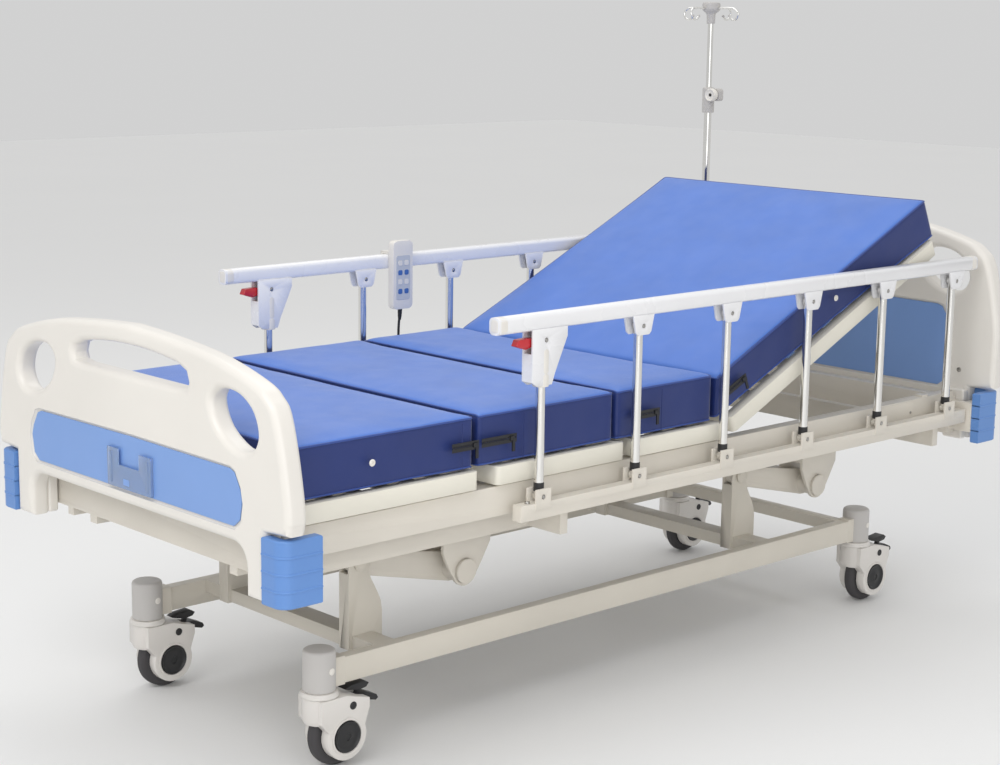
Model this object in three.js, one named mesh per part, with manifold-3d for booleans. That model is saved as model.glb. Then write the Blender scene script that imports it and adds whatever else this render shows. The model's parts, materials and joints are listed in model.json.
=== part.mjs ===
// Electric hospital bed: wheeled base, parallel lift arms, four-section deck, mattress, end boards,
// folding side rails, infusion pole and a wired handset.
// Units are millimetres. +X runs from the foot to the head, -Y is the near side, +Z is up.
// The origin lies on the floor under the middle of the bed.
import * as THREE from 'three';
import { mergeVertices } from 'three/addons/utils/BufferGeometryUtils.js';
import Module from 'manifold-3d';

const wasm = await Module();
wasm.setup();

// ------------------------------------------------------------------ driving sizes

const bedLength = 2150; // outer face of the footboard to outer face of the headboard
const bedWidth = 980; // across the widest part of the end boards
const gap = 0.3; // between pieces that touch
const running = 0.6; // radial clearance of a pin in its hole
const bury = 1; // depth that welded members sink into each other
const sides = [-1, 1];

const footEnd = -bedLength / 2;
const headEnd = bedLength / 2;
const half = bedWidth / 2;
const fromFoot = (distance) => footEnd + distance;
const fromHead = (distance) => headEnd - distance;
const fromSide = (distance) => half - distance;

const wheel = { radius: 62.5, half: 12, corner: 5, hubRadius: 31, hubHalf: 39, trail: 39, web: 9 };
const casterPlace = { foot: fromFoot(220), head: fromHead(292), y: fromSide(200) };
const socket = { radius: 31, bottom: 155, top: 234, chamfer: 5, stem: 10, stemTop: 214, bore: 60 };
const sleeve = { reach: 50, bottom: 158, top: 214, half: 15 };
const shell = { ring: 34, ringBottom: 143, bodyBottom: 92, half: 36, rim: 46 };
const wheelSlot = { half: wheel.half + 2, radius: wheel.radius + 3.5 };
const pedal = { x: 86, z: 120, hub: 7, half: 12, stem: 4, pin: 3 };

const beam = { outer: fromSide(185), width: 25, bottom: 161, top: 211 };
const beamEnds = { foot: fromFoot(255), head: fromHead(325) };
const cross = { length: 50, height: 27 };
const endCross = { x: fromHead(359), length: 30 };

const column = { foot: fromFoot(377), head: fromHead(643), y: fromSide(289), pivotZ: 353, bottom: 183 };
const channel = { half: 15, plate: 3.5, back: 27, toe: 56, web: 6, waist: 103, crown: 27, webTop: 18 };
const boltRadius = 8;
const boltHead = { radius: 13, length: 7 };

const torsion = { radius: 25, cap: 7 };
const arm = { length: 245, droop: 12, eye: 23, root: torsion.radius + 5, thick: 22 };
const lever = { lean: 6.5, width: 12, roller: 10, rollerHalf: 9, root: 17, y: 60 };

const chassis = { inner: fromSide(264), width: 24, bottom: 394, top: 452 };
const subFrame = { inner: fromSide(176), width: 20 };
const sideBeam = { inner: fromSide(120), width: 30, bottom: 452, top: 511, inset: 75 };
const endBeam = { inset: 65, width: 30, bottom: 410, top: 500 };
const crossTube = { foot: fromFoot(725), head: fromHead(175), width: 20 };
const bracket = {
  plate: 8,
  inner: 4,
  width: 126,
  foot: torsion.radius + 6,
  back: 4,
  backDepth: 32,
  headroom: 4,
  shift: 5,
};
const bracketInner = column.y - 19;
const bracketOuter = chassis.inner + chassis.width + 4;
const stub = { inset: 84, bottom: 420, top: 490, legClearance: 9 };
const pad = { half: 12, inset: 4 };
const holeSides = 16;
const wheelSides = 20;

const deck = { half: fromSide(78), bottom: 516, top: 552, rail: 25, bar: 24, corner: 10 };
const slat = { width: 34, thick: 3, pitch: 68 };
const hinge = { calf: fromFoot(530), thigh: fromFoot(920), back: fromFoot(1222), z: 534 };
const reveal = { calf: 24, thigh: 15, back: 17 };
const calfEnd = fromFoot(77);
const backFlatEnd = fromHead(128);
const backRaised = 25; // degrees above flat at rest
const knuckle = { pin: 5, eye: 10, thick: 6, inset: 90, overlap: 12 };

const mattress = { half: deck.half + 0.4, bottom: 556, top: 657, foot: fromFoot(65), seam: 1.5, heel: 5 };
const mattressRaised = { bottom: mattress.bottom - hinge.z, top: mattress.top - mattress.bottom + 18 };
const seamAt = { calf: fromFoot(506), thigh: fromFoot(883), seat: fromFoot(1183) };
const mattressBackEnd = fromHead(106);

const board = { thick: 45, leg: 63, legInner: fromSide(125), legOuter: fromSide(70), bottom: 394 };
const boardRise = { foot: 0, head: 97 };
const boardArch = { top: 486, spring: 452, corner: 42 };
const panel = { half: fromSide(154), bottom: 509, top: 623, corner: 26, shoulder: 26, depth: 6 };
const slotHole = { inner: fromSide(330), outer: fromSide(295), low: 734, high: 778, crown: 24 };
const bumper = {
  outer: fromSide(10),
  inner: fromSide(69.5),
  over: 5,
  reach: 82,
  wall: 22,
  corner: 26,
  bottom: 395,
  top: 516,
};
const holder = { y0: -80, y1: 67, bottom: 517, top: 591, wall: 2, depth: 10, notch: 34, notchDepth: 30 };

const rail = { y: fromSide(56), foot: fromFoot(520), head: fromHead(78), bottom: 811, top: 844, half: 14 };
const railCorner = 9;
const post = {
  count: 6,
  first: fromFoot(642),
  last: fromHead(160),
  radius: 9.5,
  pin: 4,
  footGap: 1.5,
  headGap: 9.5,
};
const postPitch = (post.last - post.first) / (post.count - 1);
const lowRail = { foot: fromFoot(585), head: fromHead(90), half: post.radius + 2.5, bottom: 444, top: 476 };
const postPivot = {
  low: lowRail.top + post.radius + post.footGap,
  high: rail.bottom - post.radius - post.headGap,
};
const cheek = { inner: post.radius + 1, thick: 4, wide: 30, narrow: 22, bottom: 774, corner: 6, sink: 1.12 };
const cheekReach = cheek.inner + cheek.thick;
// The underside of the handrail rises towards its flanks, so the cheeks start that much deeper in it.
const cheekTop = rail.bottom + railCorner + cheek.sink
  - Math.sqrt(railCorner ** 2 - (cheek.inner - rail.half + railCorner) ** 2);
const lowCheek = { half: 20, bottom: 463, top: 503 };
const latch = { foot: 36, head: 24, bottom: 705, web: 9, toe: 56 };
const trigger = { x: -24, z: 789, tip: 82, eye: 7, half: post.radius - 1.5, pin: 3 };

const iv = { x: fromHead(60), y: fromSide(67), radius: 10, rod: 7.7, foot: 528, blind: 560 };
const ivBore = iv.rod + running;
const ivCollar = { radius: 16, bottom: 1144, top: 1211, earReach: 34, earHalf: 9, earHeight: 34 };
const ivUpper = { bottom: 745, hub: 1377, top: 1433, neck: 11, head: 24, neckTop: 1402, reach: 90 };
const ivLoop = { wire: 3, radius: 15, z: 1418 };
const ivCup = { radius: 14, plateBottom: bumper.top + 2 * gap, floor: 524, top: 594, reach: 45, inset: 6 };
const ivKnob = { y: -31, z: 1192, radius: 17, length: 22, stem: 4, stemReach: 9 };

const pendant = { fromPost: 65.4, width: 58, bottom: 717, top: 851, thick: 19, arch: 6, lip: 26 };
const cordRadius = 3;

const drive = { x0: -95, x1: 55, half: 70, height: 60, rodY: 22, rod: 10, endWall: 5 };
const driveBore = drive.rod + running;
const pusher = { length: 150, face: 6, half: 18, high: 24, margin: 1.5 };
const rocker = { length: 110, backLean: 12.5, legLean: 17.5, width: 8, roller: 10, neck: 16 };
const tray = { x0: -95, x1: 5, bottom: 388, hanger: 8 };
const trayTop = chassis.bottom + 0.2;
const liftDrive = {
  x0: 70,
  radius: 20,
  headroom: 4.375,
  rod: 12,
  rodIn: 150,
  plate: 6,
  side: 7,
  low: 8,
  high: 20,
  margin: 3,
};
const liftBore = liftDrive.rod + running;
const gearbox = { length: 90, half: 30, endWall: 20 };
const hangerHalf = gearbox.half + 6;

// ------------------------------------------------------------------ solids

const radians = THREE.MathUtils.degToRad;

function solidOf(geometry) {
  geometry.deleteAttribute('normal');
  geometry.deleteAttribute('uv');
  const merged = mergeVertices(geometry, 1e-3);
  const mesh = new wasm.Mesh({
    numProp: 3,
    vertProperties: Float32Array.from(merged.attributes.position.array),
    triVerts: Uint32Array.from(merged.index.array),
  });
  return new wasm.Manifold(mesh);
}

function geometryOf(solid) {
  const mesh = solid.getMesh();
  const geometry = new THREE.BufferGeometry();
  geometry.setAttribute('position', new THREE.BufferAttribute(mesh.vertProperties, 3));
  geometry.setIndex(new THREE.BufferAttribute(mesh.triVerts, 1));
  return geometry;
}

const joined = (...solids) => solids.flat().reduce((whole, next) => whole.add(next));
const cut = (solid, ...tools) => tools.flat().reduce((whole, tool) => whole.subtract(tool), solid);

function block(x0, x1, y0, y1, z0, z1) {
  const geometry = new THREE.BoxGeometry(Math.abs(x1 - x0), Math.abs(y1 - y0), Math.abs(z1 - z0));
  geometry.translate((x0 + x1) / 2, (y0 + y1) / 2, (z0 + z1) / 2);
  return solidOf(geometry);
}

// A straight round bar between two points.
function bar(from, to, radius, segments = 12) {
  const start = new THREE.Vector3(...from);
  const end = new THREE.Vector3(...to);
  const along = end.clone().sub(start);
  const geometry = new THREE.CylinderGeometry(radius, radius, along.length(), segments);
  const upright = new THREE.Vector3(0, 1, 0);
  const turn = new THREE.Quaternion().setFromUnitVectors(upright, along.clone().normalize());
  geometry.applyQuaternion(turn);
  geometry.translate(...start.add(end).multiplyScalar(0.5).toArray());
  return solidOf(geometry);
}

// A solid of revolution about Z: the profile is a list of [radius, height] that starts and ends on the axis.
function turned(profile, segments = 14) {
  const geometry = new THREE.LatheGeometry(profile.map(([r, z]) => new THREE.Vector2(r, z)), segments);
  geometry.rotateX(Math.PI / 2);
  return solidOf(geometry);
}

function extruded(shape, depth, curveSegments) {
  return new THREE.ExtrudeGeometry(shape, { depth, bevelEnabled: false, curveSegments });
}

// Shape coordinates are (x, z); the plate lies between two values of y.
function plateY(shape, y0, y1, curveSegments = 8) {
  const geometry = extruded(shape, Math.abs(y1 - y0), curveSegments);
  geometry.rotateX(Math.PI / 2);
  geometry.translate(0, Math.max(y0, y1), 0);
  return solidOf(geometry);
}

// Shape coordinates are (y, z); the plate lies between two values of x.
function plateX(shape, x0, x1, curveSegments = 8) {
  const geometry = extruded(shape, Math.abs(x1 - x0), curveSegments);
  geometry.rotateX(Math.PI / 2);
  geometry.rotateZ(Math.PI / 2);
  geometry.translate(Math.min(x0, x1), 0, 0);
  return solidOf(geometry);
}

// Shape coordinates are (x, y); the plate lies between two values of z.
function plateZ(shape, z0, z1, curveSegments = 8) {
  const geometry = extruded(shape, z1 - z0, curveSegments);
  geometry.translate(0, 0, z0);
  return solidOf(geometry);
}

function tube(points, radius, steps, segments = 8) {
  const path = new THREE.CatmullRomCurve3(points.map((p) => new THREE.Vector3(...p)));
  const section = new THREE.Shape();
  section.absarc(0, 0, radius, 0, 2 * Math.PI);
  return solidOf(new THREE.ExtrudeGeometry(section, {
    steps,
    extrudePath: path,
    bevelEnabled: false,
    curveSegments: segments / 2,
  }));
}

function polygon(points) {
  return new THREE.Shape(points.map(([a, b]) => new THREE.Vector2(a, b)));
}

function disc(a, b, radius) {
  const shape = new THREE.Shape();
  shape.absarc(a, b, radius, 0, 2 * Math.PI);
  return shape;
}

function roundedRect(a0, a1, b0, b1, r) {
  const shape = new THREE.Shape();
  shape.moveTo(a0 + r, b0);
  shape.lineTo(a1 - r, b0);
  shape.absarc(a1 - r, b0 + r, r, -Math.PI / 2, 0);
  shape.lineTo(a1, b1 - r);
  shape.absarc(a1 - r, b1 - r, r, 0, Math.PI / 2);
  shape.lineTo(a0 + r, b1);
  shape.absarc(a0 + r, b1 - r, r, Math.PI / 2, Math.PI);
  shape.lineTo(a0, b0 + r);
  shape.absarc(a0 + r, b0 + r, r, Math.PI, 1.5 * Math.PI);
  return shape;
}

// The outline that wraps two circles, as a forged link does.
function link(a0, b0, r0, a1, b1, r1) {
  const along = Math.atan2(b1 - b0, a1 - a0);
  const lean = Math.acos((r0 - r1) / Math.hypot(a1 - a0, b1 - b0));
  const shape = new THREE.Shape();
  shape.absarc(a0, b0, r0, along + lean, along - lean + 2 * Math.PI);
  shape.absarc(a1, b1, r1, along - lean, along + lean);
  return shape;
}

const along = (radius, degrees) => [radius * Math.cos(radians(degrees)), radius * Math.sin(radians(degrees))];

// ------------------------------------------------------------------ materials and pieces

const look = (color, roughness, metalness = 0) => ({ color, roughness, metalness });
const looks = {
  frame: look(0xd2ccc0, 0.42),
  ivory: look(0xe2ded0, 0.45),
  shellWhite: look(0xe1dcd4, 0.38),
  greyPlastic: look(0xa5a29f, 0.5),
  black: look(0x222120, 0.6),
  tread: look(0x4a484a, 0.75),
  blueCover: look(0x2f62b4, 0.55),
  bluePlastic: look(0x6f9fdf, 0.4),
  clear: look(0x9fc0ee, 0.15),
  chrome: look(0xd8d8d8, 0.12, 1),
  aluminium: look(0xe4e4e8, 0.3, 0.3),
  red: look(0xc0303a, 0.4),
  steel: look(0xb0aea8, 0.35, 0.9),
};

const bed = new THREE.Group();

function piece(name, solid, appearance, parent = bed) {
  const mesh = new THREE.Mesh(geometryOf(solid), new THREE.MeshStandardMaterial(appearance));
  mesh.name = name;
  parent.add(mesh);
  return mesh;
}

function groupAt(x, y, z, parent = bed) {
  const group = new THREE.Group();
  group.position.set(x, y, z);
  parent.add(group);
  return group;
}

// ------------------------------------------------------------------ base

const [armRun, armRise] = along(arm.length, -arm.droop);
const pivotLow = { z: column.pivotZ + armRise };
// The lever ends where the lift drive just clears the underside of the bed frame.
const leverRise = chassis.bottom - liftDrive.radius - liftDrive.headroom - pivotLow.z;
const leverLean = leverRise * Math.tan(radians(lever.lean));
const armPivot = { foot: column.foot + armRun, head: column.head + armRun };

function casterSocket(x, y, towards) {
  const body = turned([
    [0, socket.bottom],
    [socket.radius, socket.bottom],
    [socket.radius, socket.top - socket.chamfer],
    [socket.radius - socket.chamfer, socket.top],
    [0, socket.top],
  ]).translate([x, y, 0]);
  const joint = block(
    x, x + towards * sleeve.reach, y - sleeve.half, y + sleeve.half, sleeve.bottom, sleeve.top,
  );
  const bore = bar(
    [x, y, socket.bottom - bury],
    [x, y, socket.bottom + socket.bore],
    socket.stem + running,
    12,
  );
  return cut(joined(body, joint), bore);
}

// One upright U channel with its pivot bolt; the lift arm turns between its two flanges.
function liftColumn(x, y) {
  const flange = new THREE.Shape();
  flange.moveTo(-channel.back, column.bottom - column.pivotZ);
  flange.lineTo(channel.toe, column.bottom - column.pivotZ);
  flange.lineTo(channel.toe, -channel.waist);
  const shoulder = along(channel.crown, -36);
  flange.bezierCurveTo(channel.toe, -70, 30, -50, shoulder[0], shoulder[1]);
  flange.absarc(0, 0, channel.crown, radians(-36), Math.PI);
  flange.lineTo(-channel.back, column.bottom - column.pivotZ);
  const flanges = sides.map((side) => plateY(
    flange,
    y + side * (channel.half - channel.plate),
    y + side * channel.half,
    5,
  ).translate([x, 0, column.pivotZ]));
  const web = block(
    x - channel.back,
    x - channel.back + channel.web,
    y - channel.half,
    y + channel.half,
    column.bottom,
    column.pivotZ - channel.webTop,
  );
  const reach = channel.half + boltHead.length;
  const bolt = bar([x, y - reach, column.pivotZ], [x, y + reach, column.pivotZ], boltRadius, 10);
  const heads = sides.map((side) => bar(
    [x, y + side * (channel.half - bury), column.pivotZ],
    [x, y + side * reach, column.pivotZ],
    boltHead.radius,
    6,
  ));
  return joined(flanges, web, bolt, heads);
}

function baseFrame() {
  const beamInner = beam.outer - beam.width;
  const beams = sides.map((side) => block(
    beamEnds.foot, beamEnds.head, side * beamInner, side * beam.outer, beam.bottom, beam.top,
  ));
  const crossStarts = [column.foot, column.head].map((x) => x - channel.back + channel.web + 3);
  const crossMembers = crossStarts.map((x) => block(
    x, x + cross.length, -beamInner - bury, beamInner + bury, beam.top - cross.height, beam.top,
  ));
  const headMember = block(
    endCross.x, endCross.x + endCross.length, -beamInner - bury, beamInner + bury,
    beam.top - cross.height, beam.top,
  );
  const sockets = sides.flatMap((side) => [
    casterSocket(casterPlace.foot, side * casterPlace.y, 1),
    casterSocket(casterPlace.head, side * casterPlace.y, -1),
  ]);
  const columns = sides.flatMap((side) => [
    liftColumn(column.foot, side * column.y),
    liftColumn(column.head, side * column.y),
  ]);
  return joined(beams, crossMembers, headMember, sockets, columns);
}

piece('base_frame', baseFrame(), looks.frame);

// ------------------------------------------------------------------ casters

function casterHousing() {
  const stem = bar([0, 0, socket.bottom - gap - bury], [0, 0, socket.stemTop], socket.stem, 12);
  const ring = turned([
    [0, shell.bodyBottom],
    [shell.ring - 4, shell.bodyBottom],
    [shell.ring, shell.bodyBottom + 8],
    [shell.ring, socket.bottom - gap],
    [0, socket.bottom - gap],
  ], 14);
  const side = new THREE.Shape();
  side.moveTo(-shell.ring + 12, shell.ringBottom);
  side.lineTo(shell.ring + 4, shell.ringBottom);
  side.lineTo(66, 135);
  side.lineTo(pedal.x + 7, pedal.z + 8);
  side.lineTo(pedal.x + 7, pedal.z - 10);
  side.lineTo(wheel.trail + shell.rim - 2, wheel.radius + 18);
  side.absarc(wheel.trail, wheel.radius, shell.rim, radians(20), radians(-200), true);
  side.lineTo(-shell.ring + 12, shell.bodyBottom + 6);
  const walls = plateY(side, -shell.half, shell.half, 8);
  const wheelRoom = plateY(
    disc(wheel.trail, wheel.radius, wheelSlot.radius), -wheelSlot.half, wheelSlot.half, holeSides / 2,
  );
  const pedalRoom = block(
    pedal.x - 11, pedal.x + 40, -wheelSlot.half, wheelSlot.half, wheel.radius, socket.bottom + 10,
  );
  const hubRoom = bar(
    [wheel.trail, -shell.half - bury, wheel.radius],
    [wheel.trail, shell.half + bury, wheel.radius],
    wheel.hubRadius + running,
    wheelSides,
  );
  const pin = bar([pedal.x, -shell.half + 2, pedal.z], [pedal.x, shell.half - 2, pedal.z], pedal.pin, 8);
  return joined(cut(joined(ring, walls), wheelRoom, pedalRoom, hubRoom), stem, pin);
}

function casterWheel() {
  const { half: w, corner, hubRadius, hubHalf, web } = wheel;
  const radius = wheel.radius / Math.cos(Math.PI / wheelSides);
  const profile = [
    [0, -hubHalf],
    [hubRadius, -hubHalf],
    [hubRadius, -w],
    [radius - web - corner, -w],
    [radius - corner, -w],
    [radius, -w + corner],
    [radius, w - corner],
    [radius - corner, w],
    [hubRadius, w],
    [hubRadius, hubHalf],
    [0, hubHalf],
  ];
  const points = profile.map(([r, y]) => new THREE.Vector2(r, y));
  const geometry = new THREE.LatheGeometry(points, wheelSides, Math.PI / wheelSides);
  geometry.translate(wheel.trail, 0, wheel.radius);
  return solidOf(geometry);
}

function casterPedal() {
  const { x, z, half: w } = pedal;
  const upper = polygon([
    [x - 33, z + 25], [x - 20, z + 30], [x + 14, z + 33], [x + 24, z + 27], [x + 18, z + 20], [x - 2, z + 17],
  ]);
  const lower = polygon([
    [x + 2, z + 6], [x + 20, z + 9], [x + 43, z - 1], [x + 47, z - 8], [x + 41, z - 12], [x + 18, z - 6],
    [x + 2, z - 6],
  ]);
  const stem = polygon([[x - 5, z], [x + 5, z], [x + 11, z + 22], [x + 2, z + 22]]);
  const hub = bar([x, -w, z], [x, w, z], pedal.hub, 12);
  const body = joined(hub, plateY(upper, -w, w), plateY(lower, -w, w), plateY(stem, -pedal.stem, pedal.stem));
  return cut(body, bar([x, -w - bury, z], [x, w + bury, z], pedal.pin + running, 8));
}

const corners = [
  { name: 'foot_near', x: casterPlace.foot, y: -casterPlace.y },
  { name: 'foot_far', x: casterPlace.foot, y: casterPlace.y },
  { name: 'head_near', x: casterPlace.head, y: -casterPlace.y },
  { name: 'head_far', x: casterPlace.head, y: casterPlace.y },
];
for (const { name, x, y } of corners) {
  const place = groupAt(x, y, 0);
  piece(`caster_housing_${name}`, casterHousing(), looks.shellWhite, place);
  piece(`caster_wheel_${name}`, casterWheel(), looks.tread, place);
  piece(`caster_pedal_${name}`, casterPedal(), looks.black, place);
}

// ------------------------------------------------------------------ lift arms and lift drive

function liftArm(pivotX, columnX) {
  const reach = bracketOuter + torsion.cap;
  const shaft = bar([pivotX, -reach, pivotLow.z], [pivotX, reach, pivotLow.z], torsion.radius, holeSides);
  const outline = link(columnX, column.pivotZ, arm.eye, pivotX, pivotLow.z, arm.root);
  const eye = (y) => bar(
    [columnX, y - arm.thick, column.pivotZ],
    [columnX, y + arm.thick, column.pivotZ],
    boltRadius + running,
    10,
  );
  const arms = sides.map((side) => {
    const y = side * column.y;
    return cut(plateY(outline, y - arm.thick / 2, y + arm.thick / 2, 4), eye(y));
  });
  return joined(shaft, arms);
}

function liftLever() {
  const x = armPivot.foot + leverLean;
  const z = pivotLow.z + leverRise;
  const outline = link(armPivot.foot, pivotLow.z, lever.root, x, z, lever.roller);
  return joined(
    plateY(outline, lever.y - lever.width / 2, lever.y + lever.width / 2, 3),
    bar([x, lever.y - lever.rollerHalf, z], [x, lever.y + lever.rollerHalf, z], lever.roller, 12),
  );
}

piece('foot_lift_arm', joined(liftArm(armPivot.foot, column.foot), liftLever()), looks.frame);
piece('head_lift_arm', liftArm(armPivot.head, column.head), looks.frame);

const liftAxis = { y: lever.y, z: pivotLow.z + leverRise };
const rodFace = armPivot.foot + leverLean + lever.roller + liftDrive.margin;

function liftHousing() {
  const x0 = armPivot.foot + liftDrive.x0;
  const x1 = drivePlace() + tray.x0 - gap;
  const body = bar([x0, liftAxis.y, liftAxis.z], [x1, liftAxis.y, liftAxis.z], liftDrive.radius, 16);
  const gears = block(
    x1 - gearbox.length, x1, liftAxis.y - gearbox.half, liftAxis.y + gearbox.half,
    liftAxis.z - gearbox.half, liftAxis.z + gearbox.half / 2,
  );
  const bore = bar(
    [x0 - bury, liftAxis.y, liftAxis.z], [x1 - gearbox.endWall, liftAxis.y, liftAxis.z], liftBore, 16,
  );
  return cut(joined(body, gears), bore);
}

function liftRod() {
  const faceHalf = lever.rollerHalf + liftDrive.side;
  const face = block(
    rodFace, rodFace + liftDrive.plate, liftAxis.y - faceHalf, liftAxis.y + faceHalf,
    liftAxis.z - liftDrive.low, liftAxis.z + liftDrive.high,
  );
  const inner = armPivot.foot + liftDrive.x0 + liftDrive.rodIn;
  const start = rodFace + liftDrive.plate - bury;
  const rod = bar([start, liftAxis.y, liftAxis.z], [inner, liftAxis.y, liftAxis.z], liftDrive.rod);
  return joined(face, rod);
}

piece('lift_actuator', liftHousing(), looks.greyPlastic);
piece('lift_rod', liftRod(), looks.steel);

// ------------------------------------------------------------------ bed frame

function liftBracket(x, side) {
  const top = chassis.bottom + bracket.headroom;
  const left = bracket.shift - bracket.width / 2;
  const right = bracket.shift + bracket.width / 2;
  const outline = new THREE.Shape();
  outline.moveTo(left, top);
  outline.lineTo(left, pivotLow.z + 45);
  outline.quadraticCurveTo(-bracket.foot - 12, pivotLow.z + 8, -bracket.foot * 0.94, pivotLow.z - 10);
  outline.absarc(0, pivotLow.z, bracket.foot, radians(-160), radians(-20));
  outline.quadraticCurveTo(bracket.foot + 12, pivotLow.z + 8, right, pivotLow.z + 52);
  outline.lineTo(right, top);
  outline.lineTo(left, top);
  const wall = (y, thick) => plateY(outline, side * y, side * (y + thick), 4).translate([x, 0, 0]);
  const back = block(
    x + left, x + left + bracket.back, side * (bracketOuter - bracket.backDepth - bracket.plate),
    side * (bracketOuter - bury), pivotLow.z + 60, top,
  );
  const roof = block(
    x + left, x + right, side * bracketInner, side * bracketOuter, chassis.bottom, top,
  );
  const outerWall = wall(bracketOuter - bracket.plate, bracket.plate);
  return joined(outerWall, wall(bracketInner, bracket.inner), back, roof);
}

function bumperStub(end, side) {
  const x = end * (headEnd - stub.inset);
  const wallFace = bumper.outer - bumper.wall - gap;
  const noseX = end * (headEnd + bumper.over - bumper.wall - gap);
  const legClear = board.legOuter + gap;
  return joined(
    block(
      x, end * (headEnd - board.leg - 2), side * (sideBeam.inner + sideBeam.width - bury), side * wallFace,
      stub.bottom, stub.top,
    ),
    block(x, noseX, side * (legClear + stub.legClearance), side * wallFace, stub.bottom, stub.top),
  );
}

function ivCupSolid() {
  const inner = sideBeam.inner + ivCup.inset;
  const x0 = iv.x - ivCup.reach;
  const plateFoot = block(
    x0, headEnd - sideBeam.inset, inner, sideBeam.inner + sideBeam.width,
    sideBeam.top - bury, ivCup.plateBottom + bury,
  );
  const armPlate = block(
    x0, iv.x + ivCup.radius - 5, inner, iv.y + ivCup.radius - 2, ivCup.plateBottom, ivCup.floor + bury,
  );
  const cup = bar([iv.x, iv.y, ivCup.floor], [iv.x, iv.y, ivCup.top], ivCup.radius, 14);
  const bore = bar([iv.x, iv.y, iv.foot - gap], [iv.x, iv.y, ivCup.top + bury], iv.radius + running, 12);
  return cut(joined(plateFoot, armPlate, cup), bore);
}

function bedFrame() {
  const endX = headEnd - endBeam.inset;
  const beams = sides.map((side) => block(
    -headEnd + sideBeam.inset, headEnd - sideBeam.inset, side * sideBeam.inner,
    side * (sideBeam.inner + sideBeam.width), sideBeam.bottom, sideBeam.top,
  ));
  const beamReach = sideBeam.inner + sideBeam.width;
  const ends = sides.map((end) => block(
    end * endX, end * (endX - endBeam.width), -beamReach, beamReach, endBeam.bottom, endBeam.top,
  ));
  const tubeReach = rail.y - lowRail.half - gap;
  const tubes = [crossTube.foot, crossTube.head].map((x) => block(
    x - crossTube.width / 2, x + crossTube.width / 2, -tubeReach, tubeReach,
    chassis.bottom, chassis.top + bury,
  ));
  const rails = sides.map((side) => block(
    -endX + bury, endX - bury, side * chassis.inner, side * (chassis.inner + chassis.width),
    chassis.bottom, chassis.top,
  ));
  const subRails = sides.map((side) => block(
    -endX + bury, crossTube.foot, side * subFrame.inner, side * (subFrame.inner + subFrame.width),
    chassis.bottom, chassis.top,
  ));
  const shafts = [armPivot.foot, armPivot.head];
  const brackets = sides.flatMap((side) => shafts.map((x) => liftBracket(x, side)));
  const shaftHoles = shafts.map((x) => bar(
    [x, -half, pivotLow.z], [x, half, pivotLow.z], torsion.radius + running + gap, holeSides,
  ));
  const padPlaces = [calfEnd + 60, hinge.thigh + 40, hinge.back - 40, backFlatEnd - 60];
  const pads = sides.flatMap((side) => padPlaces.map((x) => block(
    x - pad.half, x + pad.half, side * (sideBeam.inner + pad.inset),
    side * (sideBeam.inner + sideBeam.width - pad.inset), sideBeam.top - bury, deck.bottom - gap,
  )));
  const driveX = drivePlace();
  const trayReach = chassis.inner + chassis.width;
  const driveTray = block(
    driveX + tray.x0, driveX + tray.x1, -trayReach, trayReach, tray.bottom, trayTop,
  );
  const hangerLow = liftAxis.z - gearbox.half - 4;
  const rearHanger = block(
    driveX + tray.x0, driveX + tray.x0 + tray.hanger, liftAxis.y - hangerHalf, liftAxis.y + hangerHalf,
    hangerLow, tray.bottom + bury,
  );
  const frontHanger = cut(
    block(
      crossTube.foot, crossTube.foot + tray.hanger, liftAxis.y - hangerHalf, liftAxis.y + hangerHalf,
      hangerLow, chassis.bottom + bury,
    ),
    bar(
      [crossTube.foot - bury, liftAxis.y, liftAxis.z],
      [crossTube.foot + tray.hanger + bury, liftAxis.y, liftAxis.z],
      liftDrive.radius + running,
      16,
    ),
  );
  const stubs = sides.flatMap((end) => sides.map((side) => bumperStub(end, side)));
  return joined(
    beams, ends, tubes, rails, subRails, cut(joined(brackets), shaftHoles), pads, driveTray, rearHanger,
    frontHanger, stubs, ivCupSolid(),
  );
}

// The twin drive hangs midway between the two hinges that it serves.
function drivePlace() {
  return (hinge.thigh + hinge.back) / 2;
}

piece('bed_frame', bedFrame(), looks.frame);

// ------------------------------------------------------------------ deck sections

// A welded rectangle with slats; x0 and x1 are its two ends.
function deckSection(x0, x1, top, bottom) {
  const railInner = deck.half - deck.rail;
  const ring = cut(
    plateZ(roundedRect(x0, x1, -deck.half, deck.half, deck.corner), bottom, top, 2),
    block(x0 + deck.bar, x1 - deck.bar, -railInner, railInner, bottom - bury, top + bury),
  );
  const clear = x1 - x0 - 2 * deck.bar;
  const count = Math.max(1, Math.round(clear / slat.pitch) - 1);
  const slats = Array.from({ length: count }, (_, i) => {
    const x = x0 + deck.bar + (clear * (i + 1)) / (count + 1);
    return block(
      x - slat.width / 2, x + slat.width / 2, -railInner - bury, railInner + bury,
      top - slat.thick - bury, top - bury,
    );
  });
  return joined(ring, slats);
}

// The inner lug carries the pin and the outer lug turns on it.
// Both reach from a section's end bar to the hinge axis.
function pinLugs(x, z, barX) {
  return sides.map((side) => {
    const y = side * (deck.half - knuckle.inset);
    return joined(
      plateY(link(x, z, knuckle.eye, barX, z, knuckle.eye), y, y + side * knuckle.thick, 3),
      bar([x, y, z], [x, y + side * (2 * knuckle.thick + 4), z], knuckle.pin, 8),
    );
  });
}

function eyeLugs(x, z, barX) {
  return sides.map((side) => {
    const y = side * (deck.half - knuckle.inset + knuckle.thick + 1.5);
    return cut(
      plateY(link(x, z, knuckle.eye, barX, z, knuckle.eye), y, y + side * knuckle.thick, 3),
      bar([x, y - side * 4, z], [x, y + side * (knuckle.thick + 4), z], knuckle.pin + running, 8),
    );
  });
}

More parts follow.
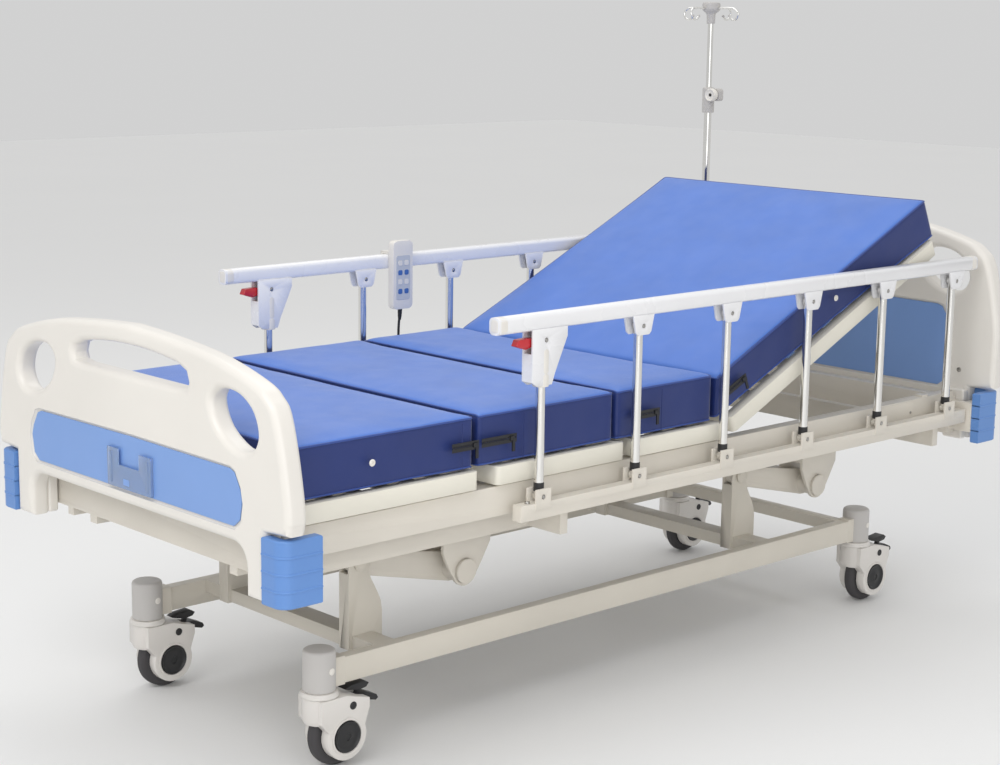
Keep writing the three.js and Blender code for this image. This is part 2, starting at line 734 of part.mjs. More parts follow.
// A lever welded to a section's end bar, with the roller that the drive pushes on.
function driveLever(hingeX, z, barX, lean, y) {
  const reach = along(rocker.length, lean - 90);
  const x = hingeX + reach[0];
  const low = z + reach[1];
  const outline = link(barX, z - 6, rocker.neck, x, low, rocker.roller);
  return joined(
    plateY(outline, y - rocker.width / 2, y + rocker.width / 2, 3),
    bar([x, y - rocker.width, low], [x, y + rocker.width, low], rocker.roller, 12),
  );
}

piece('deck_calf', joined(
  deckSection(calfEnd, hinge.calf - reveal.calf, deck.top, deck.bottom),
  pinLugs(hinge.calf, hinge.z, hinge.calf - reveal.calf - knuckle.overlap),
), looks.ivory);

piece('deck_thigh', joined(
  deckSection(hinge.calf + reveal.calf, hinge.thigh - reveal.thigh, deck.top, deck.bottom),
  eyeLugs(hinge.calf, hinge.z, hinge.calf + reveal.calf + knuckle.overlap),
  eyeLugs(hinge.thigh, hinge.z, hinge.thigh - reveal.thigh - knuckle.overlap),
  driveLever(hinge.thigh, hinge.z, hinge.thigh - reveal.thigh - knuckle.overlap, rocker.legLean, -drive.rodY),
), looks.ivory);

piece('deck_seat', joined(
  deckSection(hinge.thigh + reveal.thigh, hinge.back - reveal.back, deck.top, deck.bottom),
  pinLugs(hinge.thigh, hinge.z, hinge.thigh + reveal.thigh + knuckle.overlap),
  pinLugs(hinge.back, hinge.z, hinge.back - reveal.back - knuckle.overlap),
), looks.ivory);

const backGroup = groupAt(hinge.back, 0, hinge.z);
backGroup.rotation.y = -radians(backRaised);
const backLength = backFlatEnd - hinge.back;

piece('deck_back', joined(
  deckSection(reveal.back, backLength, deck.top - hinge.z, deck.bottom - hinge.z),
  eyeLugs(0, 0, reveal.back + knuckle.overlap),
  driveLever(0, 0, reveal.back + knuckle.overlap, -rocker.backLean - backRaised, drive.rodY),
), looks.ivory, backGroup);

// ------------------------------------------------------------------ deck drives

const driveAxisZ = hinge.z - rocker.length;
const driveX0 = drivePlace() + drive.x0;
const driveX1 = drivePlace() + drive.x1;

function twinDrive() {
  const z0 = trayTop + gap;
  const body = block(driveX0, driveX1, -drive.half, drive.half, z0, z0 + drive.height);
  const backBore = bar(
    [driveX0 + drive.endWall, drive.rodY, driveAxisZ],
    [driveX1 + bury, drive.rodY, driveAxisZ],
    driveBore,
    16,
  );
  const legBore = bar(
    [driveX0 - bury, -drive.rodY, driveAxisZ],
    [driveX1 - drive.endWall, -drive.rodY, driveAxisZ],
    driveBore,
    16,
  );
  return cut(body, backBore, legBore);
}

// face is the x of the plate that meets the lever's roller, inward points from it into the housing.
function driveRod(face, inward, y) {
  const top = driveAxisZ + pusher.high + 14;
  const plate = block(
    face, face + inward * pusher.face, y - pusher.half + 2, y + pusher.half - 2,
    driveAxisZ - pusher.high / 2, top,
  );
  const slotHalf = rocker.width / 2 + 1;
  const leverSlot = block(
    face - inward * bury, face + inward * (pusher.face + bury), y - slotHalf, y + slotHalf,
    driveAxisZ + drive.rod + 3, top + bury,
  );
  const rod = bar(
    [face + inward * bury, y, driveAxisZ], [face + inward * pusher.length, y, driveAxisZ], drive.rod,
  );
  return joined(cut(plate, leverSlot), rod);
}

const backRollerX = hinge.back - along(rocker.length, 90 - rocker.backLean)[0];
const legRollerX = hinge.thigh + along(rocker.length, 90 - rocker.legLean)[0];

piece('twin_drive', twinDrive(), looks.greyPlastic);
piece('back_pusher', driveRod(backRollerX - rocker.roller - pusher.margin, -1, drive.rodY), looks.steel);
piece('leg_pusher', driveRod(legRollerX + rocker.roller + pusher.margin, 1, -drive.rodY), looks.steel);

// ------------------------------------------------------------------ mattress

function mattressBlock(x0, x1) {
  return block(x0, x1, -mattress.half, mattress.half, mattress.bottom, mattress.top);
}

// A point of the side view at rest, given in the coordinates of the tilted back section.
function inBackGroup(x, z) {
  const point = new THREE.Vector2(x - hinge.back, z - hinge.z);
  point.rotateAround(new THREE.Vector2(0, 0), -radians(backRaised));
  return [point.x, point.y];
}

function mattressBack() {
  const lift = mattressRaised.bottom;
  const topZ = mattressRaised.top;
  const face = seamAt.seat + mattress.seam;
  const end = mattressBackEnd - hinge.back;
  const tan = Math.tan(radians(backRaised));
  const cos = Math.cos(radians(backRaised));
  const faceAt = (z) => (face - hinge.back) / cos + z * tan;
  const toe = inBackGroup(face, mattress.bottom);
  const heel = inBackGroup(hinge.back - mattress.heel, mattress.bottom);
  return plateY(polygon([
    toe, [heel[0], lift], [end, lift], [end, topZ], [faceAt(topZ), topZ],
  ]), -mattress.half, mattress.half);
}

piece('mattress_calf', mattressBlock(mattress.foot, seamAt.calf), looks.blueCover);
piece('mattress_thigh', mattressBlock(seamAt.calf + mattress.seam, seamAt.thigh), looks.blueCover);
piece('mattress_seat', mattressBlock(seamAt.thigh + mattress.seam, seamAt.seat), looks.blueCover);
piece('mattress_back', mattressBack(), looks.blueCover, backGroup);

// ------------------------------------------------------------------ end boards and bumpers

// Half of the outline, from the foot of the leg to the middle of the top edge, mirrored for the other half.
function boardOutline(rise) {
  const { legInner, legOuter, bottom } = board;
  const { top, spring, corner } = boardArch;
  const high = (z) => z + rise;
  const crest = [
    [half, 552], [half - 4, 592], [half - 20, 673], [half - 38, 732], [half - 58, 755], [half - 98, 777],
    [half - 221, 806], [half - 367, 821],
  ].map(([y, z]) => new THREE.Vector2(y, high(z)));
  const middle = new THREE.Vector2(0, high(828));
  const mirrored = crest.map((p) => new THREE.Vector2(-p.x, p.y)).reverse();
  const shape = new THREE.Shape();
  shape.moveTo(-legInner, bottom);
  shape.lineTo(-legInner, spring);
  shape.quadraticCurveTo(-legInner, top - 2, -legInner + corner, top);
  shape.lineTo(legInner - corner, top);
  shape.quadraticCurveTo(legInner, top - 2, legInner, spring);
  shape.lineTo(legInner, bottom);
  shape.lineTo(legOuter, bottom);
  shape.lineTo(legOuter, 519);
  shape.quadraticCurveTo(half - 4, 521, half - 2, 540);
  shape.splineThru([...crest, middle, ...mirrored, new THREE.Vector2(-half + 2, 540)]);
  shape.quadraticCurveTo(-half + 4, 521, -legOuter, 519);
  shape.lineTo(-legOuter, bottom);
  shape.lineTo(-legInner, bottom);
  return shape;
}

function handleSlot(rise) {
  const { inner, outer } = slotHole;
  const low = slotHole.low + rise;
  const high = slotHole.high + rise;
  const shape = new THREE.Shape();
  shape.moveTo(-inner, low);
  shape.lineTo(inner, low);
  shape.quadraticCurveTo(outer, low + 2, outer, low + 16);
  shape.quadraticCurveTo(outer, high - 6, inner, high);
  shape.quadraticCurveTo(0, high + slotHole.crown, -inner, high);
  shape.quadraticCurveTo(-outer, high - 6, -outer, low + 16);
  shape.quadraticCurveTo(-outer, low + 2, -inner, low);
  return shape;
}

// The oval hand hole beside the slot, given from its inner edge round over the top.
function sideHole(rise, side) {
  const points = [
    [fromSide(226), 726], [fromSide(208), 748], [fromSide(176), 754], [fromSide(139), 748],
    [fromSide(108), 730], [fromSide(92), 705], [fromSide(90), 680], [fromSide(106), 658],
    [fromSide(140), 651], [fromSide(180), 665], [fromSide(212), 690],
  ].map(([y, z]) => new THREE.Vector3(side * y, z + rise, 0));
  const curve = new THREE.CatmullRomCurve3(points, true);
  return new THREE.Shape(curve.getPoints(18).slice(0, -1).map((p) => new THREE.Vector2(p.x, p.y)));
}

function panelShape(rise) {
  const { half: w, bottom, top, corner, shoulder } = panel;
  const high = top + rise;
  const shape = new THREE.Shape();
  shape.moveTo(-w, bottom);
  shape.lineTo(w, bottom);
  shape.quadraticCurveTo(w + shoulder * 0.8, bottom + 4, w + shoulder, bottom + corner * 2);
  shape.quadraticCurveTo(w + shoulder * 0.8, high - corner, w, high - 4);
  shape.quadraticCurveTo(0, high + 3, -w, high - 4);
  shape.quadraticCurveTo(-w - shoulder * 0.8, high - corner, -w - shoulder, bottom + corner * 2);
  shape.quadraticCurveTo(-w - shoulder * 0.8, bottom + 4, -w, bottom);
  return shape;
}

function endBoard(end, rise, panelDepth) {
  const outer = end * headEnd;
  const inner = end * (headEnd - board.thick);
  const plate = plateX(boardOutline(rise), outer, inner, 2);
  const openings = [handleSlot(rise), sideHole(rise, -1), sideHole(rise, 1)].map((shape) => plateX(
    shape, outer + end * bury, inner - end * bury, 3,
  ));
  const recess = plateX(panelShape(rise), outer + end * bury, outer - end * panelDepth, 4);
  const legs = sides.map((side) => block(
    inner + end * bury, end * (headEnd - board.leg), side * board.legInner, side * board.legOuter,
    board.bottom, bumper.top,
  ));
  return joined(cut(plate, openings, recess), legs);
}

piece('footboard', endBoard(-1, boardRise.foot, panel.depth), looks.shellWhite);
piece('headboard', endBoard(1, boardRise.head, panel.depth), looks.shellWhite);

function cornerBumper(end, side) {
  const nose = end * (headEnd + bumper.over);
  const tail = end * (headEnd - bumper.reach);
  const { outer, inner, wall, bottom, top, corner } = bumper;
  const front = block(nose, nose - end * wall, side * inner, side * outer, bottom, top);
  const flank = block(nose, tail, side * (outer - wall), side * outer, bottom, top);
  const far = tail - end * bumper.reach;
  const deep = side * (outer - 2 * bumper.reach);
  const rounding = plateZ(roundedRect(
    Math.min(nose, far), Math.max(nose, far), Math.min(side * outer, deep), Math.max(side * outer, deep),
    corner,
  ), bottom, top, 4);
  return joined(front, flank).intersect(rounding);
}

for (const [endName, end] of [['foot', -1], ['head', 1]]) {
  for (const [sideName, side] of [['near', -1], ['far', 1]]) {
    piece(`bumper_${endName}_${sideName}`, cornerBumper(end, side), looks.bluePlastic);
  }
}

// The clear pocket for a patient card sits in the recess of the footboard.
function chartHolder() {
  const back = footEnd + panel.depth - gap;
  const front = back - holder.depth;
  const mid = (holder.y0 + holder.y1) / 2;
  const body = block(back, front, holder.y0, holder.y1, holder.bottom, holder.top);
  const pocket = block(
    back - holder.wall, front + holder.wall, holder.y0 + holder.wall, holder.y1 - holder.wall,
    holder.bottom + holder.wall, holder.top + bury,
  );
  const notch = block(
    back - holder.wall - bury, front - bury, mid - holder.notch, mid + holder.notch,
    holder.top - holder.notchDepth, holder.top + bury,
  );
  return cut(body, pocket, notch);
}

piece('chart_holder', chartHolder(), looks.clear);

// ------------------------------------------------------------------ side rails

const postX = (i) => post.first + i * postPitch;
const postIndexes = Array.from({ length: post.count }, (_, i) => i);

function pivotHole(x, y, z) {
  const reach = 2 * cheek.inner;
  return bar([x, y - reach, z], [x, y + reach, z], post.pin + 2 * running, 6);
}

function railPost(x, y) {
  const shank = bar([x, y, postPivot.low], [x, y, postPivot.high], post.radius, 10);
  const ends = [postPivot.low, postPivot.high].map((z) => joined(
    bar([x, y - cheek.inner + 1, z], [x, y + cheek.inner - 1, z], post.radius, 10),
    bar([x, y - cheekReach + 1, z], [x, y + cheekReach - 1, z], post.pin, 6),
  ));
  return joined(shank, ends);
}

// The cheek of the first post carries the latch, so it is deeper and holds the release lever.
function latchCheek(x) {
  return polygon([
    [x - latch.foot, cheekTop], [x - latch.foot, latch.bottom + 8], [x - latch.foot + 12, latch.bottom],
    [x + latch.head - 8, latch.bottom], [x + latch.head, latch.bottom + 22],
    [x + latch.toe, rail.bottom - 16], [x + latch.toe, cheekTop],
  ]);
}

function postCheek(x) {
  const { wide, narrow, bottom, corner } = cheek;
  return polygon([
    [x - wide, cheekTop], [x - narrow, bottom + corner], [x - narrow + corner, bottom],
    [x + narrow - corner, bottom], [x + narrow, bottom + corner], [x + wide, cheekTop],
  ]);
}

function handrail(y) {
  const profile = roundedRect(y - rail.half, y + rail.half, rail.bottom, rail.top, railCorner);
  const grip = plateX(profile, rail.foot, rail.head, 2);
  const cheeks = postIndexes.flatMap((i) => {
    const outline = i === 0 ? latchCheek(postX(i)) : postCheek(postX(i));
    return sides.map((side) => plateY(
      outline, y + side * cheek.inner, y + side * (cheekReach),
    ));
  });
  const latchX = postX(0) - latch.foot;
  const latchWeb = block(
    latchX, latchX + latch.web, y - cheek.inner - bury, y + cheek.inner + bury,
    latch.bottom + 8, cheekTop,
  );
  const triggerX = postX(0) + trigger.x;
  const triggerRoom = block(
    latchX - bury, triggerX + 12, y - cheek.inner, y + cheek.inner, trigger.z - 22, rail.bottom + bury,
  );
  const triggerPin = bar(
    [triggerX, y - cheek.inner - 1, trigger.z], [triggerX, y + cheek.inner + 1, trigger.z], trigger.pin, 8,
  );
  const holes = postIndexes.map((i) => pivotHole(postX(i), y, postPivot.high));
  const skirt = cut(joined(cheeks, cut(latchWeb, triggerRoom)), holes);
  return joined(grip, skirt, triggerPin);
}

function lowerRail(y) {
  const tubeBody = block(
    lowRail.foot, lowRail.head, y - lowRail.half, y + lowRail.half, lowRail.bottom, lowRail.top,
  );
  const cheeks = postIndexes.flatMap((i) => sides.map((side) => block(
    postX(i) - lowCheek.half, postX(i) + lowCheek.half, y + side * cheek.inner,
    y + side * (cheekReach), lowCheek.bottom, lowCheek.top,
  )));
  return joined(tubeBody, cut(joined(cheeks), postIndexes.map((i) => pivotHole(postX(i), y, postPivot.low))));
}

function releaseLever(y) {
  const x = postX(0) + trigger.x;
  const outline = polygon([
    [x + trigger.eye, trigger.z - 4], [x + trigger.eye, trigger.z + 7], [x - 20, trigger.z + 9],
    [x - trigger.tip + 40, trigger.z + 8], [x - trigger.tip + 34, trigger.z - 4], [x - 24, trigger.z - 12],
  ]);
  const hole = bar([x, y - 20, trigger.z], [x, y + 20, trigger.z], trigger.pin + running, 8);
  const hub = bar([x, y - trigger.half, trigger.z], [x, y + trigger.half, trigger.z], trigger.eye, 12);
  return cut(joined(hub, plateY(outline, y - trigger.half, y + trigger.half)), hole);
}

for (const [sideName, side] of [['near', -1], ['far', 1]]) {
  const y = side * rail.y;
  piece(`handrail_${sideName}`, handrail(y), looks.aluminium);
  piece(`lower_rail_${sideName}`, lowerRail(y), looks.frame);
  piece(`release_lever_${sideName}`, releaseLever(y), looks.red);
  for (const i of postIndexes) piece(`rail_post_${sideName}_${i + 1}`, railPost(postX(i), y), looks.chrome);
}

// ------------------------------------------------------------------ infusion pole

function ivLower() {
  const tubeBody = bar([0, 0, iv.foot], [0, 0, ivCollar.top - bury], iv.radius, 12);
  const collar = bar([0, 0, ivCollar.bottom], [0, 0, ivCollar.top], ivCollar.radius, 14);
  const ear = block(
    -ivCollar.earHalf, ivCollar.earHalf, -ivCollar.earReach - 12, 0, ivKnob.z - ivCollar.earHeight / 2,
    ivKnob.z + ivCollar.earHeight / 2,
  );
  const bore = bar([0, 0, iv.blind], [0, 0, ivCollar.top + bury], ivBore, 12);
  const knobHole = bar(
    [-ivCollar.earHalf - bury, ivKnob.y, ivKnob.z], [ivCollar.earHalf - 2, ivKnob.y, ivKnob.z],
    ivKnob.stem + running, 10,
  );
  return cut(joined(tubeBody, collar, ear), bore, knobHole);
}

function ivUpperSolid() {
  const rod = bar([0, 0, ivUpper.bottom], [0, 0, ivUpper.hub + 10], iv.rod, 12);
  const hub = turned([
    [0, ivUpper.hub], [ivUpper.neck, ivUpper.hub], [ivUpper.neck + 1, ivUpper.neckTop],
    [ivUpper.head, ivUpper.neckTop + 12], [ivUpper.head, ivUpper.top], [0, ivUpper.top],
  ], 14);
  const hooks = [0, 1, 2, 3].map((quarter) => {
    const turn = new THREE.Matrix4().makeRotationZ((quarter * Math.PI) / 2);
    const far = ivUpper.reach - ivLoop.wire;
    const r = ivLoop.radius;
    const points = [
      [ivUpper.head - 6, 0, ivLoop.z], [far - 24, 0, ivLoop.z], [far - 8, 4, ivLoop.z - 3],
      [far, 7, ivLoop.z - r],
      [far - 7, 8, ivLoop.z - 2 * r + 2], [far - 20, 7, ivLoop.z - 2 * r], [far - 30, 7, ivLoop.z - 1.4 * r],
    ].map((p) => new THREE.Vector3(...p).applyMatrix4(turn).toArray());
    return tube(points, ivLoop.wire, 12, 6);
  });
  return joined(rod, hub, hooks);
}

function ivKnobSolid() {
  const face = -ivCollar.earHalf - 1;
  return joined(
    bar([face, 0, 0], [face - ivKnob.length, 0, 0], ivKnob.radius, 16),
    bar([face - bury, 0, 0], [face + ivKnob.stemReach, 0, 0], ivKnob.stem, 10),
  );
}

const pole = groupAt(iv.x, iv.y, 0);
piece('iv_pole_lower', ivLower(), looks.chrome, pole);
piece('iv_pole_upper', ivUpperSolid(), looks.chrome, pole);
piece('iv_knob', ivKnobSolid(), looks.shellWhite, groupAt(0, ivKnob.y, ivKnob.z, pole));

// ------------------------------------------------------------------ pendant and its cord

function pendantSolid() {
  const inner = rail.y - cheekReach - 2 * gap;
  const outer = rail.y + rail.half + gap;
  const { fromPost, width, thick, arch, lip, bottom, top } = pendant;
  const x0 = postX(1) + fromPost;
  const x1 = x0 + width;
  const body = plateY(roundedRect(x0, x1, bottom, top + 26, 12), inner - thick, inner, 3);
  const bridge = block(x0 + 6, x1 - 6, inner - bury, outer + arch, rail.top + gap, rail.top + gap + arch);
  const hookLip = block(x0 + 6, x1 - 6, outer, outer + arch, rail.top - lip, rail.top + gap + arch);
  return joined(body, bridge, hookLip);
}

piece('pendant', pendantSolid(), looks.shellWhite);

// From the handset down inside the rail, under the frame with a slack loop, to the socket of the twin drive.
const cordRoute = [
  [-69, 411, 716.7], [-69, 412, 700], [-69, 415, 680], [-69, 416.2, 655], [-69, 416.2, 610],
  [-69, 416.2, 560], [-69, 416.2, 530], [-69, 415.6, 512], [-68, 412, 488], [-67, 411, 460], [-64, 408, 425], [-60, 398, 385],
  [-52, 384, 345], [-44, 370, 318], [-36, 356, 310], [-28, 342, 320], [-20, 326, 345], [-10, 304, 368],
  [0, 278, 380], [12, 244, 385], [22, 214, 384], [30, 186, 378], [33, 158, 376], [32, 128, 388],
  [30, 102, 412], [29, 89, 422], [29, 79, 424], [29, 70.4, 424],
];

piece('pendant_cord', tube(cordRoute, cordRadius, 64, 8), looks.black);

export default bed;
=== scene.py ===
"""The looks of an electric hospital bed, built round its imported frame. Sizes are in metres."""
import json
import math

import bmesh
import bpy
from mathutils import Matrix, Vector
from mathutils.bvhtree import BVHTree


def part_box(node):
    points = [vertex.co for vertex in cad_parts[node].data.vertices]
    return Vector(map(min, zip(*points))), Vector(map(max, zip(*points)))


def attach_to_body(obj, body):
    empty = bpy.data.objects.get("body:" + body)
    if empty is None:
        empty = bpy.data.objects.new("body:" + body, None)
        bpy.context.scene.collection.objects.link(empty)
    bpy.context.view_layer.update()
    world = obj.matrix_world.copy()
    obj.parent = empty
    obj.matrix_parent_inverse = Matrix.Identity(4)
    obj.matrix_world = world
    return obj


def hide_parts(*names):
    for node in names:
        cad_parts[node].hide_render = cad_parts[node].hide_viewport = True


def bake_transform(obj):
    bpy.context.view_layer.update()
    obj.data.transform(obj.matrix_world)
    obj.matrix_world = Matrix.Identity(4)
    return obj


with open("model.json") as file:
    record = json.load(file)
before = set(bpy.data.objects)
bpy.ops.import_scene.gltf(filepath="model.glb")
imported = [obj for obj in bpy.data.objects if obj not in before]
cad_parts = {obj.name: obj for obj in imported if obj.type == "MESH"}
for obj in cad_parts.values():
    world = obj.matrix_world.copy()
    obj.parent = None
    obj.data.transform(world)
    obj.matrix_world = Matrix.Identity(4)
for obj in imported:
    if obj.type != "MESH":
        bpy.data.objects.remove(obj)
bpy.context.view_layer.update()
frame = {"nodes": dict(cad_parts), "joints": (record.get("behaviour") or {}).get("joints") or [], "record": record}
scene = bpy.context.scene
record = frame["record"]
BODY_OF = {node: body for body, nodes in record["behaviour"]["bodies"].items() for node in nodes}
MM = 0.001
SIDES = {"near": -1, "far": 1}
ENDS = {"foot": -1, "head": 1}
CORNERS = [f"{end}_{side}" for end in ENDS for side in SIDES]
POSTS = range(1, 7)


# ---------------------------------------------------------------- camera

def aim_camera():
    """The studio camera, set by its place, its three turns and its lens."""
    yaw, pitch, roll = (math.radians(a) for a in (47.67, 10.79, 0.64))
    ahead = Vector((math.cos(yaw) * math.cos(pitch), math.sin(yaw) * math.cos(pitch), -math.sin(pitch)))
    level = Vector((math.sin(yaw), -math.cos(yaw), 0))
    upright = level.cross(ahead)
    across = math.cos(roll) * level + math.sin(roll) * upright
    above = math.cos(roll) * upright - math.sin(roll) * level
    turn = Matrix((across, above, -ahead)).transposed()
    camera = bpy.data.objects.new("camera", bpy.data.cameras.new("camera"))
    scene.collection.objects.link(camera)
    camera.matrix_world = Matrix.Translation((-2.975, -3.0253, 1.3928)) @ turn.to_4x4()
    camera.data.sensor_width = 36
    camera.data.lens = 69.92
    camera.data.shift_x = 0.0301
    camera.data.shift_y = 0.0027
    camera.data.clip_end = 100
    scene.camera = camera


aim_camera()


# ---------------------------------------------------------------- materials

def color(red, green, blue):
    """A display colour from 0 to 255 as linear light."""
    parts = [c / 255 for c in (red, green, blue)]
    return tuple(c / 12.92 if c <= 0.04045 else ((c + 0.055) / 1.055) ** 2.4 for c in parts) + (1.0,)


class Finish:
    """One material: a Principled shader with its colour, roughness and relief from procedural textures."""

    def __init__(self, name, base, roughness, metallic=0.0, coat=0.0):
        self.material = bpy.data.materials.new(name)
        self.material.use_nodes = True
        self.tree = self.material.node_tree
        self.shader = self.tree.nodes["Principled BSDF"]
        self.shader.inputs["Metallic"].default_value = metallic
        self.shader.inputs["Roughness"].default_value = roughness
        self.shader.inputs["Coat Weight"].default_value = coat
        self.shader.inputs["Coat Roughness"].default_value = 0.25
        self.base = base
        self.roughness = roughness
        self.shader.inputs["Base Color"].default_value = base
        self.place = self.tree.nodes.new("ShaderNodeTexCoord").outputs["Object"]

    def link(self, source, target):
        self.tree.links.new(source, target)

    def noise(self, scale, detail=2.0, stretch=(1, 1, 1)):
        """A noise from 0 to 1, its place stretched along the three axes."""
        mapping = self.tree.nodes.new("ShaderNodeMapping")
        mapping.inputs["Scale"].default_value = stretch
        texture = self.tree.nodes.new("ShaderNodeTexNoise")
        texture.inputs["Scale"].default_value = scale
        texture.inputs["Detail"].default_value = detail
        self.link(self.place, mapping.inputs["Vector"])
        self.link(mapping.outputs["Vector"], texture.inputs["Vector"])
        return texture.outputs["Fac"]

    def weave(self, pitch):
        """Crossed threads: the product of two waves at right angles in all three planes."""
        scaled = self.tree.nodes.new("ShaderNodeVectorMath")
        scaled.operation = "SCALE"
        scaled.inputs["Scale"].default_value = 2 * math.pi / pitch
        self.link(self.place, scaled.inputs[0])
        waves = self.tree.nodes.new("ShaderNodeVectorMath")
        waves.operation = "SINE"
        self.link(scaled.outputs[0], waves.inputs[0])
        total = self.tree.nodes.new("ShaderNodeVectorMath")
        total.operation = "DOT_PRODUCT"
        total.inputs[1].default_value = (0.33, 0.33, 0.33)
        self.link(waves.outputs[0], total.inputs[0])
        return total.outputs["Value"]

    def spread(self, source, low, high):
        """The source, which lies mostly between 0.3 and 0.7, spread from low to high."""
        node = self.tree.nodes.new("ShaderNodeMapRange")
        node.inputs["From Min"].default_value = 0.3
        node.inputs["From Max"].default_value = 0.7
        node.inputs["To Min"].default_value = low
        node.inputs["To Max"].default_value = high
        self.link(source, node.inputs["Value"])
        return node.outputs["Result"]

    def mottle(self, scale, amount, other=None):
        """Slow colour change between the base and a slightly darker or a given other colour."""
        mix = self.tree.nodes.new("ShaderNodeMix")
        mix.data_type = "RGBA"
        mix.inputs[6].default_value = self.base
        mix.inputs[7].default_value = other or tuple(c * (1 - amount) for c in self.base[:3]) + (1.0,)
        self.link(self.spread(self.noise(scale, 4), 0, 1), mix.inputs[0])
        self.link(mix.outputs[2], self.shader.inputs["Base Color"])
        return self

    def uneven_gloss(self, scale, amount):
        change = self.spread(self.noise(scale, 3), self.roughness - amount, self.roughness + amount)
        self.link(change, self.shader.inputs["Roughness"])
        return self

    def relief(self, source, depth, strength=0.5):
        """Adds a height source to the surface, deeper layers first."""
        bump = self.tree.nodes.new("ShaderNodeBump")
        bump.inputs["Distance"].default_value = depth
        bump.inputs["Strength"].default_value = strength
        self.link(source, bump.inputs["Height"])
        earlier = self.shader.inputs["Normal"].links
        if earlier:
            self.link(earlier[0].from_socket, bump.inputs["Normal"])
        self.link(bump.outputs["Normal"], self.shader.inputs["Normal"])
        return self


def powder_coat(name, base, roughness=0.42):
    finish = Finish(name, base, roughness, coat=0.08).mottle(5, 0.07).uneven_gloss(18, 0.07)
    return finish.relief(finish.noise(420, 2), 0.0004, 0.22).material


def moulded(name, base, roughness=0.38, coat=0.12, grain=700):
    finish = Finish(name, base, roughness, coat=coat).mottle(4, 0.05).uneven_gloss(12, 0.05)
    return finish.relief(finish.noise(grain, 2), 0.0003, 0.15).material


def metal(name, base, roughness, drawn=(1, 1, 0.02)):
    """Drawn or plated metal with faint lines along its length."""
    finish = Finish(name, base, roughness, metallic=1).uneven_gloss(30, 0.04)
    return finish.relief(finish.noise(500, 2, drawn), 0.0001, 0.08).material


def cover_cloth(name, base, wrinkle=0.0016):
    """Coated woven nylon: a fine weave under a soft sheen, with shallow wrinkles."""
    finish = Finish(name, base, 0.52)
    finish.shader.inputs["Sheen Weight"].default_value = 0.22
    finish.shader.inputs["Sheen Roughness"].default_value = 0.4
    finish.mottle(7, 0.10).uneven_gloss(22, 0.06)
    finish.relief(finish.noise(6.5, 3, (1, 1.3, 2)), wrinkle, 0.55)
    finish.relief(finish.noise(38, 3), 0.0004, 0.3)
    return finish.relief(finish.weave(0.0011), 0.00012, 0.35).material


def clear_sheet(name, base):
    finish = Finish(name, base, 0.12, coat=0.4).mottle(9, 0.05)
    finish.shader.inputs["Transmission Weight"].default_value = 0.55
    finish.shader.inputs["IOR"].default_value = 1.4
    return finish.relief(finish.noise(60, 2), 0.0003, 0.1).material


LOOKS = {
    "frame": powder_coat("frame_coat", color(219, 213, 202)),
    "base": powder_coat("base_coat", color(214, 208, 196)),
    "deck": powder_coat("deck_coat", color(231, 227, 214), 0.45),
    "board": moulded("board_plastic", color(231, 227, 220), 0.34, 0.2),
    "housing": moulded("housing_white", color(221, 217, 212), 0.36, 0.15),
    "panel": moulded("panel_blue", color(124, 160, 219), 0.42, 0.1),
    "bumper": moulded("bumper_blue", color(98, 142, 206), 0.4, 0.15),
    "cover": cover_cloth("cover_top", color(78, 122, 207)),
    # Flank cloth: partly a darker navy fabric, partly painted shade; its colour is darkened so the flanks look as dark
    # as they do in shade.
    "cover_side": cover_cloth("cover_side", color(26, 47, 112), 0.0012),
    "piping": cover_cloth("cover_piping", color(44, 74, 150), 0.0002),
    "zip": moulded("zip_black", color(24, 25, 30), 0.5, 0.1, 1500),
    "thread": moulded("stitch_thread", color(30, 46, 104), 0.6, 0, 1500),
    "chrome": metal("chrome_plate", color(232, 231, 228), 0.09),
    "steel": metal("ground_steel", color(176, 174, 170), 0.28, (0.02, 1, 1)),
    "alloy": moulded("rail_white", color(236, 236, 238), 0.28, 0.3, 1200),
    "grey": moulded("socket_grey", color(192, 189, 186), 0.48, 0.05),
    "motor": moulded("motor_grey", color(150, 150, 150), 0.5, 0.05),
    "black": moulded("pedal_black", color(30, 30, 32), 0.46, 0.1),
    "tread": moulded("tread_grey", color(66, 64, 66), 0.7, 0.0, 300),
    "red": moulded("lever_red", color(196, 36, 46), 0.3, 0.3),
    "clear": clear_sheet("pocket_clear", color(170, 196, 236)),
    "jacket": moulded("cord_black", color(28, 28, 30), 0.55, 0.0, 1500),
    "keypad": moulded("keypad_grey", color(196, 200, 206), 0.5, 0.0),
    "keys": moulded("key_blue", color(70, 110, 176), 0.45, 0.0),
}


# ---------------------------------------------------------------- making pieces

def box(node):
    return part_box(node)


def into(mesh_or_curve, name):
    piece = bpy.data.objects.new(name, mesh_or_curve)
    scene.collection.objects.link(piece)
    return piece


def dress(piece, look, node=None, body=None, replaces=False):
    """Gives a piece its material and its body; with replaces it stands for the CAD node."""
    piece.data.materials.clear()
    piece.data.materials.append(LOOKS[look])
    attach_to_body(piece, body or BODY_OF[node])
    if replaces:
        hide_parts(node)
    return piece


def soften(piece, sharp=38):
    """Smooth shading that keeps flat faces flat and edges over the given angle crisp."""
    mesh = piece.data
    mesh.shade_smooth()
    solid = bmesh.new()
    solid.from_mesh(mesh)
    for edge in solid.edges:
        edge.smooth = len(edge.link_faces) == 2 and edge.calc_face_angle(0) < math.radians(sharp)
    solid.to_mesh(mesh)
    solid.free()
    weighted = piece.modifiers.new("even_normals", "WEIGHTED_NORMAL")
    weighted.keep_sharp = True
    return piece


def mesh_from(name, build):
    """A mesh piece from a function that fills a bmesh."""
    solid = bmesh.new()
    build(solid)
    bmesh.ops.recalc_face_normals(solid, faces=solid.faces)
    mesh = bpy.data.meshes.new(name)
    solid.to_mesh(mesh)
    solid.free()
    return into(mesh, name)


